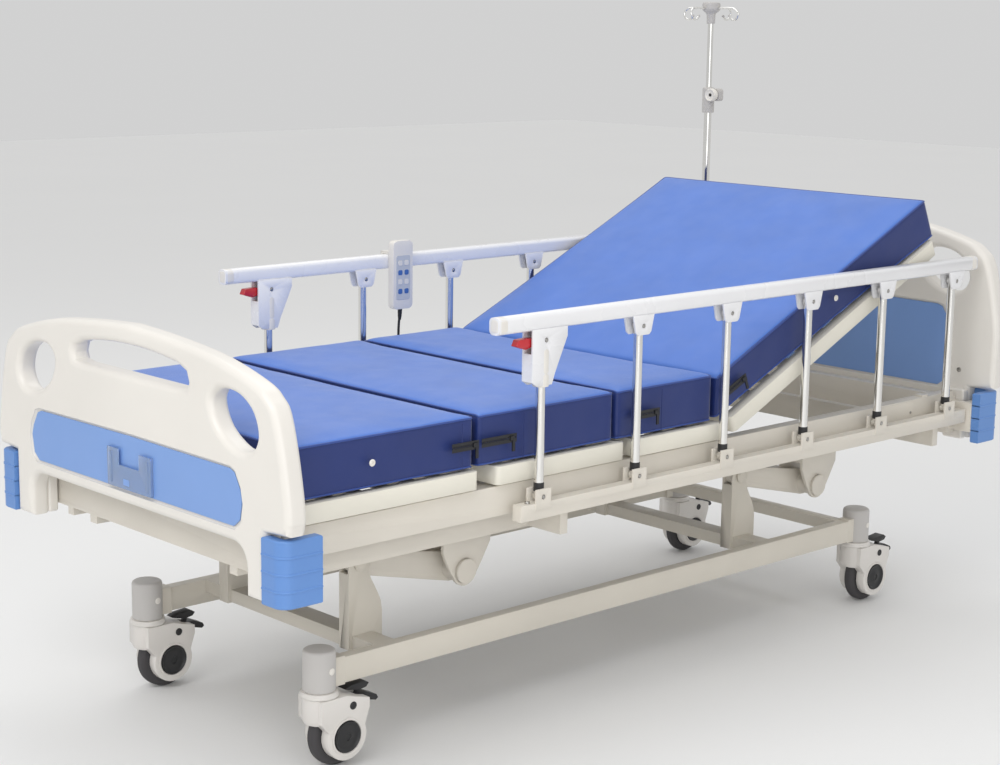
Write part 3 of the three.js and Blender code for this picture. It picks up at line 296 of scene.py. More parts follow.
MERGE = 0.0007  # corners of a CAD shape closer than this are taken as one before its edges are rounded


def rounded_cad(node, width, look, segments=2, angle=32, name=None):
    """The CAD node's shape as a new piece with its hard edges rounded."""
    def build(solid):
        solid.from_mesh(frame["nodes"][node].data)
        bmesh.ops.remove_doubles(solid, verts=solid.verts, dist=MERGE)
        bmesh.ops.dissolve_limit(
            solid, angle_limit=math.radians(1), verts=solid.verts, edges=solid.edges,
            delimit={"NORMAL"})
        bmesh.ops.triangulate(solid, faces=[f for f in solid.faces if len(f.verts) > 4])
    piece = mesh_from(name or f"{node}_body", build)
    piece.data.shade_smooth()
    bevel = piece.modifiers.new("rounding", "BEVEL")
    bevel.width = width
    bevel.segments = segments
    bevel.limit_method = "ANGLE"
    bevel.angle_limit = math.radians(angle)
    bevel.use_clamp_overlap = True
    bevel.harden_normals = True
    bevel.miter_outer = "MITER_ARC"
    return dress(piece, look, node, replaces=True)


PLANES = {
    "x": Matrix(((0, 0, 1), (1, 0, 0), (0, 1, 0))).to_4x4(),
    "y": Matrix(((1, 0, 0), (0, 0, -1), (0, 1, 0))).to_4x4(),
    "z": Matrix.Identity(4),
}


def outline_plate(name, outlines, axis, start, end, rounding=0.001, steps=3):
    """Closed outlines, the first outside and the rest holes, drawn out along an axis with rounded rims."""
    curve = bpy.data.curves.new(name, "CURVE")
    curve.dimensions = "2D"
    curve.fill_mode = "BOTH"
    depth = abs(end - start) / 2
    curve.extrude = depth - rounding
    curve.bevel_depth = rounding
    curve.bevel_resolution = steps
    curve.offset = -rounding
    for outline in outlines:
        spline = curve.splines.new("POLY")
        spline.points.add(len(outline) - 1)
        for point, (a, b) in zip(spline.points, outline):
            point.co = (a, b, 0, 1)
        spline.use_cyclic_u = True
    drawn = into(curve, f"{name}_line")
    graph = bpy.context.evaluated_depsgraph_get()
    mesh = bpy.data.meshes.new_from_object(drawn.evaluated_get(graph))
    bpy.data.objects.remove(drawn)
    mesh.name = name
    middle = Vector((0, 0, -(start + end) / 2 if axis == "y" else (start + end) / 2))
    mesh.transform(PLANES[axis] @ Matrix.Translation(middle))
    solid = bmesh.new()
    solid.from_mesh(mesh)
    bmesh.ops.remove_doubles(solid, verts=solid.verts, dist=1e-5)
    bmesh.ops.recalc_face_normals(solid, faces=solid.faces)
    solid.to_mesh(mesh)
    solid.free()
    return soften(into(mesh, name))


def smooth_line(points, steps=8, closed=False):
    """Points of a Catmull-Rom curve through the given points."""
    pts = [Vector(p) for p in points]
    count = len(pts)
    line = []
    for i in range(count if closed else count - 1):
        before = pts[i - 1] if closed or i else 2 * pts[0] - pts[1]
        a, b = pts[i], pts[(i + 1) % count]
        after = pts[(i + 2) % count] if closed or i + 2 < count else 2 * pts[-1] - pts[-2]
        for k in range(steps):
            t = k / steps
            bend = (2 * before - 5 * a + 4 * b - after) * t * t + (3 * a - before - 3 * b + after) * t ** 3
            line.append(a + 0.5 * ((b - before) * t + bend))
    return line if closed else line + [pts[-1]]


def arc(centre, radius, start, stop, steps=6):
    """Points of an arc in a plane, in degrees."""
    turns = [math.radians(start + (stop - start) * k / steps) for k in range(steps + 1)]
    return [(centre[0] + radius * math.cos(t), centre[1] + radius * math.sin(t)) for t in turns]


def rounded_rect(a0, a1, b0, b1, radius, steps=5):
    corners = ((a1 - radius, b1 - radius, 0), (a0 + radius, b1 - radius, 90),
               (a0 + radius, b0 + radius, 180), (a1 - radius, b0 + radius, 270))
    return [p for a, b, turn in corners for p in arc((a, b), radius, turn, turn + 90, steps)]


def lathe(name, profile, centre, axis=(0, 0, 1), segments=32):
    """A turned solid: the profile's (radius, height) run from the axis to the axis."""
    frame_turn = Vector((0, 0, 1)).rotation_difference(Vector(axis)).to_matrix().to_4x4()
    stand = Matrix.Translation(centre) @ frame_turn

    def build(solid):
        rings = []
        for radius, height in profile:
            if radius < 1e-6:
                rings.append([solid.verts.new(stand @ Vector((0, 0, height)))])
                continue
            rings.append([solid.verts.new(stand @ Vector((
                radius * math.cos(2 * math.pi * k / segments),
                radius * math.sin(2 * math.pi * k / segments), height))) for k in range(segments)])
        for lower, upper in zip(rings, rings[1:]):
            for k in range(segments):
                pair = [lower[k % len(lower)], lower[(k + 1) % len(lower)],
                        upper[(k + 1) % len(upper)], upper[k % len(upper)]]
                face = list(dict.fromkeys(pair))
                if len(face) > 2:
                    solid.faces.new(face)
    return soften(mesh_from(name, build), 50)


def rod(name, start, end, radius, rim=0.0008, segments=24):
    """A round bar with softly turned ends."""
    a, b = Vector(start), Vector(end)
    length = (b - a).length
    rim = min(rim, radius * 0.45)
    profile = [(0, 0), (radius - rim, 0), (radius - rim * 0.3, rim * 0.3), (radius, rim),
               (radius, length - rim), (radius - rim * 0.3, length - rim * 0.3), (radius - rim, length),
               (0, length)]
    return lathe(name, profile, a, (b - a).normalized(), segments)


def wire(name, points, radius, cyclic=False, sides=3):
    """A round thread along the points, as a mesh."""
    curve = bpy.data.curves.new(name, "CURVE")
    curve.dimensions = "3D"
    curve.bevel_depth = radius
    curve.bevel_resolution = sides
    curve.use_fill_caps = True
    spline = curve.splines.new("POLY")
    spline.points.add(len(points) - 1)
    for point, place in zip(spline.points, points):
        point.co = (*place, 1)
    spline.use_cyclic_u = cyclic
    drawn = into(curve, f"{name}_line")
    graph = bpy.context.evaluated_depsgraph_get()
    mesh = bpy.data.meshes.new_from_object(drawn.evaluated_get(graph))
    bpy.data.objects.remove(drawn)
    mesh.name = name
    mesh.shade_smooth()
    return into(mesh, name)


def merged(name, pieces):
    """Several mesh pieces as one, with their modifiers applied."""
    graph = bpy.context.evaluated_depsgraph_get()
    solid = bmesh.new()
    for piece in pieces:
        mesh = bpy.data.meshes.new_from_object(piece.evaluated_get(graph))
        mesh.transform(piece.matrix_world)
        solid.from_mesh(mesh)
        bpy.data.meshes.remove(mesh)
    mesh = bpy.data.meshes.new(name)
    solid.to_mesh(mesh)
    solid.free()
    for piece in pieces:
        bpy.data.objects.remove(piece)
    mesh.shade_smooth()
    return soften(into(mesh, name))


# ---------------------------------------------------------------- handset cord

def handset_cord():
    route = [
        (-69, 411, 716.7), (-69, 412, 700), (-69, 415, 680), (-69, 416.2, 655), (-69, 416.2, 610),
        (-69, 416.2, 560), (-69, 416.2, 530), (-69, 415.6, 512), (-68, 412, 488), (-67, 411, 460),
        (-64, 408, 425), (-60, 398, 385), (-52, 384, 345), (-44, 370, 318), (-36, 356, 310),
        (-28, 342, 320), (-20, 326, 345), (-10, 304, 368), (0, 278, 380), (12, 244, 385),
        (22, 214, 384), (30, 186, 378), (33, 158, 376), (32, 128, 388), (30, 102, 412),
        (29, 89, 422), (29, 79, 424), (29, 70.4, 424),
    ]
    line = smooth_line([tuple(c * MM for c in point) for point in route], 5)
    curve = bpy.data.curves.new("handset_cord", "CURVE")
    curve.dimensions = "3D"
    curve.bevel_depth = 0.003
    curve.bevel_resolution = 4
    spline = curve.splines.new("POLY")
    spline.points.add(len(line) - 1)
    for point, place in zip(spline.points, line):
        point.co = (*place, 1)
    cord = into(curve, "handset_cord")
    dress(cord, "jacket", "pendant_cord", replaces=True)
    for name, place, axis in (("handset", line[0], (0, 0.05, -1)), ("socket", line[-1], (0, 1, 0))):
        profile = [(0, 0), (0.0052, 0), (0.0055, 0.002), (0.0050, 0.008), (0.0052, 0.009), (0.0046, 0.015),
                   (0.0048, 0.016), (0.0038, 0.024), (0.0031, 0.027), (0, 0.027)]
        sleeve = lathe(f"cord_relief_{name}", profile, place, axis, 20)
        dress(sleeve, "jacket", "pendant_cord")


handset_cord()


# ---------------------------------------------------------------- base and casters

def base():
    rounded_cad("base_frame", 0.0016, "base")
    for corner in CORNERS:
        stem_lo, stem_hi = box(f"caster_housing_{corner}")
        centre = Vector(((1 if corner.startswith("foot") else 0), 0, 0))
        wheel_lo, wheel_hi = box(f"caster_wheel_{corner}")
        axle = (wheel_lo + wheel_hi) / 2
        pivot = Vector((axle.x - 0.039, axle.y, 0))
        caster(corner, pivot, axle)
        del stem_lo, stem_hi, centre


def caster(corner, pivot, axle):
    """The socket of the base, the swivelling housing with its details, the wheel and the brake pedal."""
    socket = lathe(f"socket_{corner}", [
        (0, 0.1552), (0.0305, 0.1552), (0.0316, 0.1565), (0.0316, 0.2285), (0.0302, 0.2325), (0.0268, 0.2349),
        (0.0, 0.2356)], pivot, (0, 0, 1), 40)
    dress(socket, "grey", body="base")
    cap_side = pivot + Vector((0.006, -0.0302, 0.196))
    cap = lathe(f"socket_cap_{corner}", [(0, 0), (0.0068, 0), (0.0068, 0.0016), (0.0052, 0.0027), (0, 0.003)],
                cap_side, (0.19, -0.98, 0), 20)
    dress(cap, "board", body="base")
    housing = rounded_cad(f"caster_housing_{corner}", 0.0028, "housing", 3, 30)
    collar = lathe(f"caster_collar_{corner}", [
        (0.02, 0.1435), (0.0352, 0.1435), (0.0372, 0.1452), (0.0372, 0.1492), (0.0355, 0.1508), (0.0355, 0.1545),
        (0.02, 0.1545)], pivot, (0, 0, 1), 40)
    dress(collar, "housing", f"caster_housing_{corner}")
    for side in (-1, 1):
        face = Vector((pivot.x + 0.0525, pivot.y + side * 0.0362, 0.121))
        # Painted shade: a black disc with a shallow dip stands for the dark inside of the pin hole in the housing's
        # side.
        dot = lathe(f"caster_dot_{corner}_{'far' if side > 0 else 'near'}", [
            (0, 0), (0.0078, 0), (0.0078, 0.0008), (0.0062, 0.0016), (0.0050, 0.0006), (0, 0.0004)],
            face, (0, side, 0), 22)
        dress(dot, "black", f"caster_housing_{corner}")
        rim = lathe(f"caster_ring_{corner}_{'far' if side > 0 else 'near'}", [
            (0.0322, 0), (0.0362, 0.0006), (0.0358, 0.0022), (0.0338, 0.0026), (0.0322, 0.0016)],
            Vector((axle.x, pivot.y + side * 0.0355, axle.z)), (0, side, 0), 40)
        dress(rim, "housing", f"caster_housing_{corner}")
    del housing
    tread = lathe(f"caster_tire_{corner}", [
        (0.030, -0.0118), (0.0535, -0.0118), (0.0560, -0.0112), (0.0602, -0.0096), (0.0621, -0.0066),
        (0.0625, -0.003), (0.0625, 0.003), (0.0621, 0.0066), (0.0602, 0.0096), (0.0560, 0.0112),
        (0.0535, 0.0118), (0.030, 0.0118)], axle, (0, 1, 0), 56)
    dress(tread, "tread", f"caster_wheel_{corner}", replaces=True)
    hub = lathe(f"caster_hub_{corner}", [
        (0, -0.0368), (0.0065, -0.0368), (0.0072, -0.0382), (0.0160, -0.0362), (0.0235, -0.0348),
        (0.0262, -0.0366), (0.0296, -0.0386), (0.0308, -0.0372), (0.0308, 0.0372), (0.0296, 0.0386),
        (0.0262, 0.0366), (0.0235, 0.0348), (0.0160, 0.0362), (0.0072, 0.0382), (0.0065, 0.0368), (0, 0.0368)],
        axle, (0, 1, 0), 40)
    dress(hub, "black", f"caster_wheel_{corner}")
    rounded_cad(f"caster_pedal_{corner}", 0.0022, "black", 3, 28)
    pin = rod(f"caster_pin_{corner}", Vector((pivot.x + 0.086, pivot.y - 0.0335, 0.12)),
              Vector((pivot.x + 0.086, pivot.y + 0.0335, 0.12)), 0.0034)
    dress(pin, "steel", f"caster_housing_{corner}")


def column_bolts():
    """Round bolt heads with washers on both faces of the four columns."""
    low, high = box("foot_lift_arm")
    joints = {j["name"]: j for j in frame["joints"]}
    for end, joint in (("foot", "lift"), ("head", "head_lift")):
        x, _, z = joints[joint]["pos_m"]
        for side, sign in SIDES.items():
            for face, out in (("in", -1), ("out", 1)):
                y = sign * (0.201 + out * 0.0215)
                direction = (0, sign * out, 0)
                head = lathe(f"column_bolt_{end}_{side}_{face}", [
                    (0, -0.005), (0.0142, -0.005), (0.0148, -0.0035), (0.0148, -0.0012), (0.0122, 0.0002),
                    (0.0118, 0.0014), (0.0085, 0.0024), (0, 0.0026)], (x, y, z), direction, 28)
                dress(head, "base", body="base")
    del low, high
    for node in ("foot_lift_arm", "head_lift_arm"):
        rounded_cad(node, 0.0015, "frame")
    for end, node in (("foot", "foot_lift_arm"), ("head", "head_lift_arm")):
        x, _, z = next(j["pos_m"] for j in frame["joints"] if j["name"] == "frame_level")
        if end == "head":
            x += joints["head_lift"]["pos_m"][0] - joints["lift"]["pos_m"][0]
        reach = box(node)[1].y
        for side, sign in SIDES.items():
            cap = lathe(f"shaft_cap_{end}_{side}", [
                (0, 0), (0.0235, 0), (0.0256, -0.0016), (0.0256, -0.005), (0.0, -0.005)],
                (x, sign * (reach + 0.0004), z), (0, sign, 0), 36)
            dress(cap, "frame", node)


base()
column_bolts()


# ---------------------------------------------------------------- frame, deck and drives

def bed_frame():
    rounded_cad("bed_frame", 0.0014, "frame")
    for node in ("deck_calf", "deck_thigh", "deck_seat", "deck_back"):
        rounded_cad(node, 0.0016, "deck")
    rounded_cad("twin_drive", 0.005, "motor", 3)
    rounded_cad("lift_actuator", 0.0025, "motor", 2)
    for node in ("lift_rod", "back_pusher", "leg_pusher"):
        rounded_cad(node, 0.0008, "steel")
    low, high = box("twin_drive")
    for i in range(5):
        x = low.x + 0.03 + i * 0.022
        rib = outline_plate(f"drive_rib_{i + 1}", [rounded_rect(x, x + 0.006, low.y + 0.012, high.y - 0.012, 0.0028)],
                            "z", high.z - 0.0005, high.z + 0.0008, 0.0006, 1)
        dress(rib, "motor", "twin_drive")
    end_low, end_high = box("bed_frame")
    plate_z = (0.456, 0.508)
    for side, sign in SIDES.items():
        y = sign * 0.4002
        plate = outline_plate(f"beam_plate_{side}", [rounded_rect(0.70, 0.835, *plate_z, 0.004)],
                              "y", y, y + sign * 0.0016, 0.0006, 1)
        dress(plate, "frame", "bed_frame")
        for i, x in enumerate((0.712, 0.823)):
            rivet = lathe(f"beam_rivet_{side}_{i + 1}", [(0, 0), (0.0038, 0), (0.0034, 0.0012), (0, 0.002)],
                          (x, y + sign * 0.0012, 0.482), (0, sign, 0), 14)
            dress(rivet, "steel", "bed_frame")
    del end_low, end_high


bed_frame()


# ---------------------------------------------------------------- mattress

def section_grid(name, corners, half, cell=0.0125, inset=0.0035):
    """A closed grid over a four-cornered side view drawn out across the bed, a little under full size."""
    middle = sum((Vector(c) for c in corners), Vector((0, 0))) / 4
    low_a, low_b, top_b, top_a = [
        Vector(c) + (middle - Vector(c)).normalized() * inset * 1.3 for c in corners]
    wide = half - inset
    counts = (max(4, round((low_b - low_a).length / cell)), max(10, round(2 * wide / cell)),
              max(4, round((top_a - low_a).length / cell)))

    def point(i, j, k):
        a, b, c = i / counts[0], j / counts[1], k / counts[2]
        lower, upper = low_a.lerp(low_b, a), top_a.lerp(top_b, a)
        place = lower.lerp(upper, c)
        return Vector((place.x, -wide + 2 * wide * b, place.y))

    def build(solid):
        verts = {}

        def vert(i, j, k):
            if (i, j, k) not in verts:
                verts[i, j, k] = solid.verts.new(point(i, j, k))
            return verts[i, j, k]
        nx, ny, nz = counts
        for i in range(nx):
            for j in range(ny):
                for k in (0, nz):
                    solid.faces.new([vert(i, j, k), vert(i + 1, j, k), vert(i + 1, j + 1, k), vert(i, j + 1, k)])
        for i in range(nx):
            for k in range(nz):
                for j in (0, ny):
                    solid.faces.new([vert(i, j, k), vert(i + 1, j, k), vert(i + 1, j, k + 1), vert(i, j, k + 1)])
        for j in range(ny):
            for k in range(nz):
                for i in (0, nx):
                    solid.faces.new([vert(i, j, k), vert(i, j + 1, k), vert(i, j + 1, k + 1), vert(i, j, k + 1)])
    return mesh_from(name, build)


def inflate(pieces, cap=0.0075):
    """Fills the covers with air for a moment, as foam does, and keeps the shape they take."""
    rest = {}
    for piece in pieces:
        rest[piece.name] = [v.co.copy() for v in piece.data.vertices]
        cloth = piece.modifiers.new("cloth", "CLOTH")
        settings = cloth.settings
        settings.quality = 4
        settings.mass = 0.35
        settings.tension_stiffness = 18
        settings.compression_stiffness = 18
        settings.shear_stiffness = 8
        settings.bending_stiffness = 2.5
        settings.use_pressure = True
        settings.uniform_pressure_force = 4
        settings.effector_weights.gravity = 0
        cloth.collision_settings.use_collision = False
        cloth.point_cache.frame_start = 1
        cloth.point_cache.frame_end = 20
    for step in range(1, 21):
        scene.frame_set(step)
    graph = bpy.context.evaluated_depsgraph_get()
    for piece in pieces:
        moved = [v.co.copy() for v in piece.evaluated_get(graph).data.vertices]
        piece.modifiers.clear()
        for vert, before, after in zip(piece.data.vertices, rest[piece.name], moved):
            step = after - before
            if step.length > cap:
                step *= cap / step.length
            vert.co = before + step
    scene.frame_set(1)


def flank_navy_and_painted_shade(piece, up):
    """Top and bottom faces in the light cloth, flanks in the dark one, which is partly a darker navy fabric and partly
    painted shade for the flanks that face away from the light.
    """
    piece.data.materials.append(LOOKS["cover_side"])
    for face in piece.data.polygons:
        face.material_index = 0 if face.normal.dot(up) > 0.55 else 1


def side_view(node):
    """The four corners of a section's side view, from its lower foot corner round to its upper foot corner."""
    low, high = box(node)
    return [(low.x, low.z), (high.x, low.z), (high.x, high.z), (low.x, high.z)]


def back_view():
    """The same for the raised section, read from the CAD solid's outline in the plane of its near flank."""
    verts = {(round(v.co.x, 4), round(v.co.z, 4)) for v in frame["nodes"]["mattress_back"].data.vertices}
    points = [Vector(v) for v in verts]
    toe = min(points, key=lambda p: p.y + p.x * 0.2)
    top_foot = min(points, key=lambda p: p.x - p.y * 0.5)
    top_head = max(points, key=lambda p: p.y)
    low_head = max(points, key=lambda p: p.x - p.y * 0.5)
    return toe, low_head, top_head, top_foot


def along_edges(piece, name, path, radius, look, node, blends, lift=0.0006):
    """Piping that follows the piece's own surface along a closed path."""
    tree = BVHTree.FromPolygons([v.co for v in piece.data.vertices], [p.vertices for p in piece.data.polygons])
    places = []
    for target in path:
        spot, normal, _, _ = tree.find_nearest(target)
        places.append(spot + normal * lift)
    line = wire(name, places, radius, cyclic=True)
    attach(line, look, node, blends)
    return line


def attach(piece, look, node, blends):
    """Dresses a soft part and puts it in its section's body; with blends it only has its place baked into its mesh."""
    piece.data.materials.clear()
    piece.data.materials.append(LOOKS[look])
    if blends:
        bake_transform(piece)
    else:
        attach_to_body(piece, BODY_OF[node])


def edge_path(corner_a, corner_b, half, steps=70):
    """A rounded loop over one face of a section, between two edges of its side view."""
    a, b = Vector(corner_a), Vector(corner_b)
    long = (b - a).length
    loop = rounded_rect(0, long, -half, half, 0.012, 4)
    dense = []
    for p, q in zip(loop, loop[1:] + loop[:1]):
        parts = max(1, round(math.dist(p, q) / (2 * half / steps)))
        dense += [(p[0] + (q[0] - p[0]) * k / parts, p[1] + (q[1] - p[1]) * k / parts) for k in range(parts)]
    return [Vector((*(a.lerp(b, u / long)), 0)).xzy + Vector((0, v, 0)) for u, v in dense]


def stitch_lines(node, corners, xs, half, blends):
    """Short vertical seams on both flanks."""
    low_a, low_b, top_b, top_a = (Vector(c) for c in corners)
    for side, sign in SIDES.items():
        for i, share in enumerate(xs):
            lower, upper = low_a.lerp(low_b, share), top_a.lerp(top_b, share)
            points = [Vector((*(lower.lerp(upper, 0.08 + 0.84 * k / 14)), 0)).xzy for k in range(15)]
            places = [p + Vector((0, sign * half, 0)) for p in points]
            seam = wire(f"{node}_stitch_{side}_{i + 1}", places, 0.0009, sides=1)
            attach(seam, "thread", node, blends)


def zip_end(name, start, end, half, sign, node, blends):
    """A zip across a flank: two tapes, the row of teeth and a slider with its pull tab."""
    a, b = Vector(start), Vector(end)
    along = (b - a).normalized()
    up = Vector((-along.y, along.x))
    length = (b - a).length

    def on_flank(u, v, out=0.0):
        place = a + along * u + up * v
        return Vector((place.x, sign * (half + out), place.y))

    def build(solid):
        steps = max(4, round(length / 0.01))
        for low, high in ((-0.0085, -0.0012), (0.0012, 0.0085)):
            rows = [[solid.verts.new(on_flank(length * k / steps, v, out)) for k in range(steps + 1)]
                    for v, out in ((low, 0.0), (low, 0.0012), (high, 0.0016), (high, 0.0))]
            for r, s in zip(rows, rows[1:]):
                for k in range(steps):
                    solid.faces.new([r[k], r[k + 1], s[k + 1], s[k]])
        teeth = max(6, round(length / 0.0045))
        for k in range(teeth):
            u = length * (k + 0.5) / teeth
            made = bmesh.ops.create_cube(solid, size=1)["verts"]
            for vert in made:
                x, y, z = vert.co
                vert.co = on_flank(u + x * 0.0026, (y + (0.2 if k % 2 else -0.2)) * 0.0034, 0.0012 + (z + 0.5) * 0.0012)
        for u, v, wide, tall, out in ((length * 0.86, 0, 0.011, 0.008, 0.0032),
                                      (length * 0.86 + 0.004, -0.014, 0.007, 0.024, 0.0024)):
            made = bmesh.ops.create_cube(solid, size=1)["verts"]
            for vert in made:
                x, y, z = vert.co
                vert.co = on_flank(u + x * wide, v + y * tall, 0.0006 + (z + 0.5) * out)
    piece = mesh_from(name, build)
    attach(piece, "zip", node, blends)


def vent(name, place, normal, node, blends):
    """A small white breathing eyelet."""
    rings = lathe(name, [(0, 0.0004), (0.0022, 0.0004), (0.0026, 0.0022), (0.0052, 0.0024), (0.0066, 0.0012),
                         (0.0068, 0.0), (0, 0)], place, normal, 22)
    attach(rings, "board", node, blends)


def mattress():
    half = box("mattress_seat")[1].y
    up_back = (back_view()[3] - back_view()[0]).normalized()
    hinge = {j["name"]: Vector(j["pos_m"]) for j in frame["joints"] if "pos_m" in j}
    seam_calf = box("mattress_calf")[1].x
    thigh, back = hinge["thigh_raise"], hinge["back_raise"]
    mid = (box("mattress_seat")[0].z + box("mattress_seat")[1].z) / 2
    knee = ("frame", "thigh", (thigh.x + 0.155, 0, mid), (thigh.x - 0.085, 0, mid))
    fold = ("frame", "back", (back.x - 0.03, 0, mid), (back.x + 0.06, 0, mid + 0.028))
    sections = {
        "mattress_calf": (side_view("mattress_calf"), ("thigh", "calf", (seam_calf, 0, mid),
                                                      (seam_calf - 0.18, 0, mid))),
        "mattress_thigh": (side_view("mattress_thigh"), knee),
        "mattress_seat": (side_view("mattress_seat"), knee),
        "mattress_back": (back_view(), fold),
    }
    covers = {node: section_grid(f"{node}_cover", view, half) for node, (view, _) in sections.items()}
    ups = {node: Vector((0, 0, 1)) for node in sections}
    ups["mattress_back"] = Vector((up_back.x, 0, up_back.y)).normalized()
    lie_flat = ups["mattress_back"]
    view = back_view()
    incline = (Vector(view[1]) - Vector(view[0])).normalized()
    ups["mattress_back"] = Vector((-incline.y, 0, incline.x))
    del lie_flat
    inflate(list(covers.values()))
    for node, (view, blends) in sections.items():
        cover = covers[node]
        cover.data.shade_smooth()
        subdivide(cover)
        cover.data.materials.clear()
        cover.data.materials.append(LOOKS["cover"])
        flank_navy_and_painted_shade(cover, ups[node])
        along_edges(cover, f"{node}_piping_top", edge_path(view[3], view[2], half), 0.0021, "piping", node, blends)
        along_edges(cover, f"{node}_piping_low", edge_path(view[0], view[1], half), 0.0018, "piping", node, blends)
        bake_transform(cover)
        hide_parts(node)
    flank = half + 0.0012
    stitch_lines("mattress_thigh", sections["mattress_thigh"][0], (0.30,), flank, knee)
    stitch_lines("mattress_seat", sections["mattress_seat"][0], (0.42,), flank, knee)
    stitch_lines("mattress_calf", sections["mattress_calf"][0], (0.9,), flank, sections["mattress_calf"][1])
    calf_blend = sections["mattress_calf"][1]
    back_foot, back_head = Vector(view_point(sections["mattress_back"][0], 0.03, 0.5)), Vector(
        view_point(sections["mattress_back"][0], 0.12, 0.5))
    for side, sign in SIDES.items():
        zip_end(f"zip_calf_{side}", (-0.640, mid - 0.002), (-0.5725, mid - 0.002), flank, sign, "mattress_calf",
                calf_blend)
        zip_end(f"zip_thigh_{side}", (-0.5655, mid - 0.002), (-0.475, mid - 0.002), flank, sign, "mattress_thigh",
                knee)
        zip_end(f"zip_seat_{side}", (-0.150, mid - 0.004), (-0.072, mid - 0.004), flank, sign, "mattress_seat", knee)
        zip_end(f"zip_back_{side}", back_foot, back_head, flank, sign, "mattress_back", fold)
        for name, node, share in (("calf", "mattress_calf", (0.41, 0.5)), ("back", "mattress_back", (0.52, 0.55))):
            place = view_point(sections[node][0], *share)
            vent(f"vent_{name}_{side}", Vector((place[0], sign * (flank - 0.0004), place[1])), (0, sign, 0), node,
                 sections[node][1])


def view_point(view, along, above):
    """A point of a section's side view by its shares of the length and the height."""
    low_a, low_b, top_b, top_a = (Vector(c) for c in view)
    return low_a.lerp(low_b, along).lerp(top_a.lerp(top_b, along), above)


def subdivide(piece):
    """One Catmull-Clark subdivision, applied."""
    surface = piece.modifiers.new("subdivision", "SUBSURF")
    surface.levels = 1
    surface.render_levels = 1
    graph = bpy.context.evaluated_depsgraph_get()
    finer = bpy.data.meshes.new_from_object(piece.evaluated_get(graph))
    piece.modifiers.clear()
    piece.data = finer
    finer.shade_smooth()


mattress()


# ---------------------------------------------------------------- end boards, bumpers, pocket

def board_lines(rise, half):
    """Outline and hand holes of an end board, in the plane across the bed."""
    def side(distance):
        return half - distance * MM
    leg_in, leg_out, foot = side(125), side(70), 0.394
    arch = 0.486
    crest = [(half, 0.552), (side(4), 0.592), (side(20), 0.673), (side(38), 0.732), (side(58), 0.755),
             (side(98), 0.777), (side(221), 0.806), (side(367), 0.821), (0, 0.828)]
    right = smooth_line([(y, z + rise, 0) for y, z in [(side(2), 0.540 - rise)] + crest], 6)
    right = [(p.x, p.y) for p in right]
    low = arc((leg_in - 0.04, arch - 0.04), 0.04, 90, 0, 6)[::-1]
    half_line = [(leg_in, foot)][:0] + [(leg_out, foot), (leg_out, 0.519), (side(5), 0.524)] + right
    outline = half_line + [(-y, z) for y, z in half_line[-2::-1]]
    outline += [(-leg_in, foot)] + [(-y, z) for y, z in low] + low[::-1] + [(leg_in, foot)]
    slot_in, slot_out, slot_low, slot_high = side(330), side(295), 0.734 + rise, 0.778 + rise
    top = [(y, slot_high + 0.012 * (1 - (y / slot_in) ** 2)) for y in
           [slot_in * (1 - 2 * k / 12) for k in range(13)]]
    tip = [(slot_out, slot_low + 0.014), (slot_out - 0.004, slot_low + 0.003), (slot_in, slot_low)]
    slot = top + [(-y, z) for y, z in tip[::1]] [:0] + [(-slot_out + 0.006, slot_high - 0.012), (-slot_out, slot_low + 0.016)]
    slot += [(-slot_out + 0.004, slot_low + 0.004), (-slot_in, slot_low), (slot_in, slot_low)]
    slot += [(slot_out - 0.004, slot_low + 0.004), (slot_out, slot_low + 0.016), (slot_out - 0.006, slot_high - 0.012)]
    hole = [(226, 726), (208, 748), (176, 754), (139, 748), (108, 730), (92, 705), (90, 680), (106, 658),
            (140, 651), (180, 665), (212, 690)]
    near = [(p.x, p.y) for p in smooth_line([(side(d), z * MM + rise, 0) for d, z in hole], 4, closed=True)]
    return outline, slot, near


def panel_line(rise, half, shrink=0.0):
    """The outline of the coloured panel in the lower half of a board."""
    wide, low, high = half - 0.154, 0.509, 0.623 + rise
    points = [(-wide, low), (wide, low), (wide + 0.018, low + 0.014), (wide + 0.025, low + 0.05),
              (wide + 0.019, high - 0.034), (wide + 0.002, high - 0.006), (wide - 0.012, high - 0.001), (0, high + 0.002)]
    line = points + [(-y, z) for y, z in points[-2:1:-1]]
    centre_z = (low + high) / 2
    return [(y - math.copysign(shrink, y) if abs(y) > 0.01 else y, z - math.copysign(shrink, z - centre_z))
            for y, z in line]


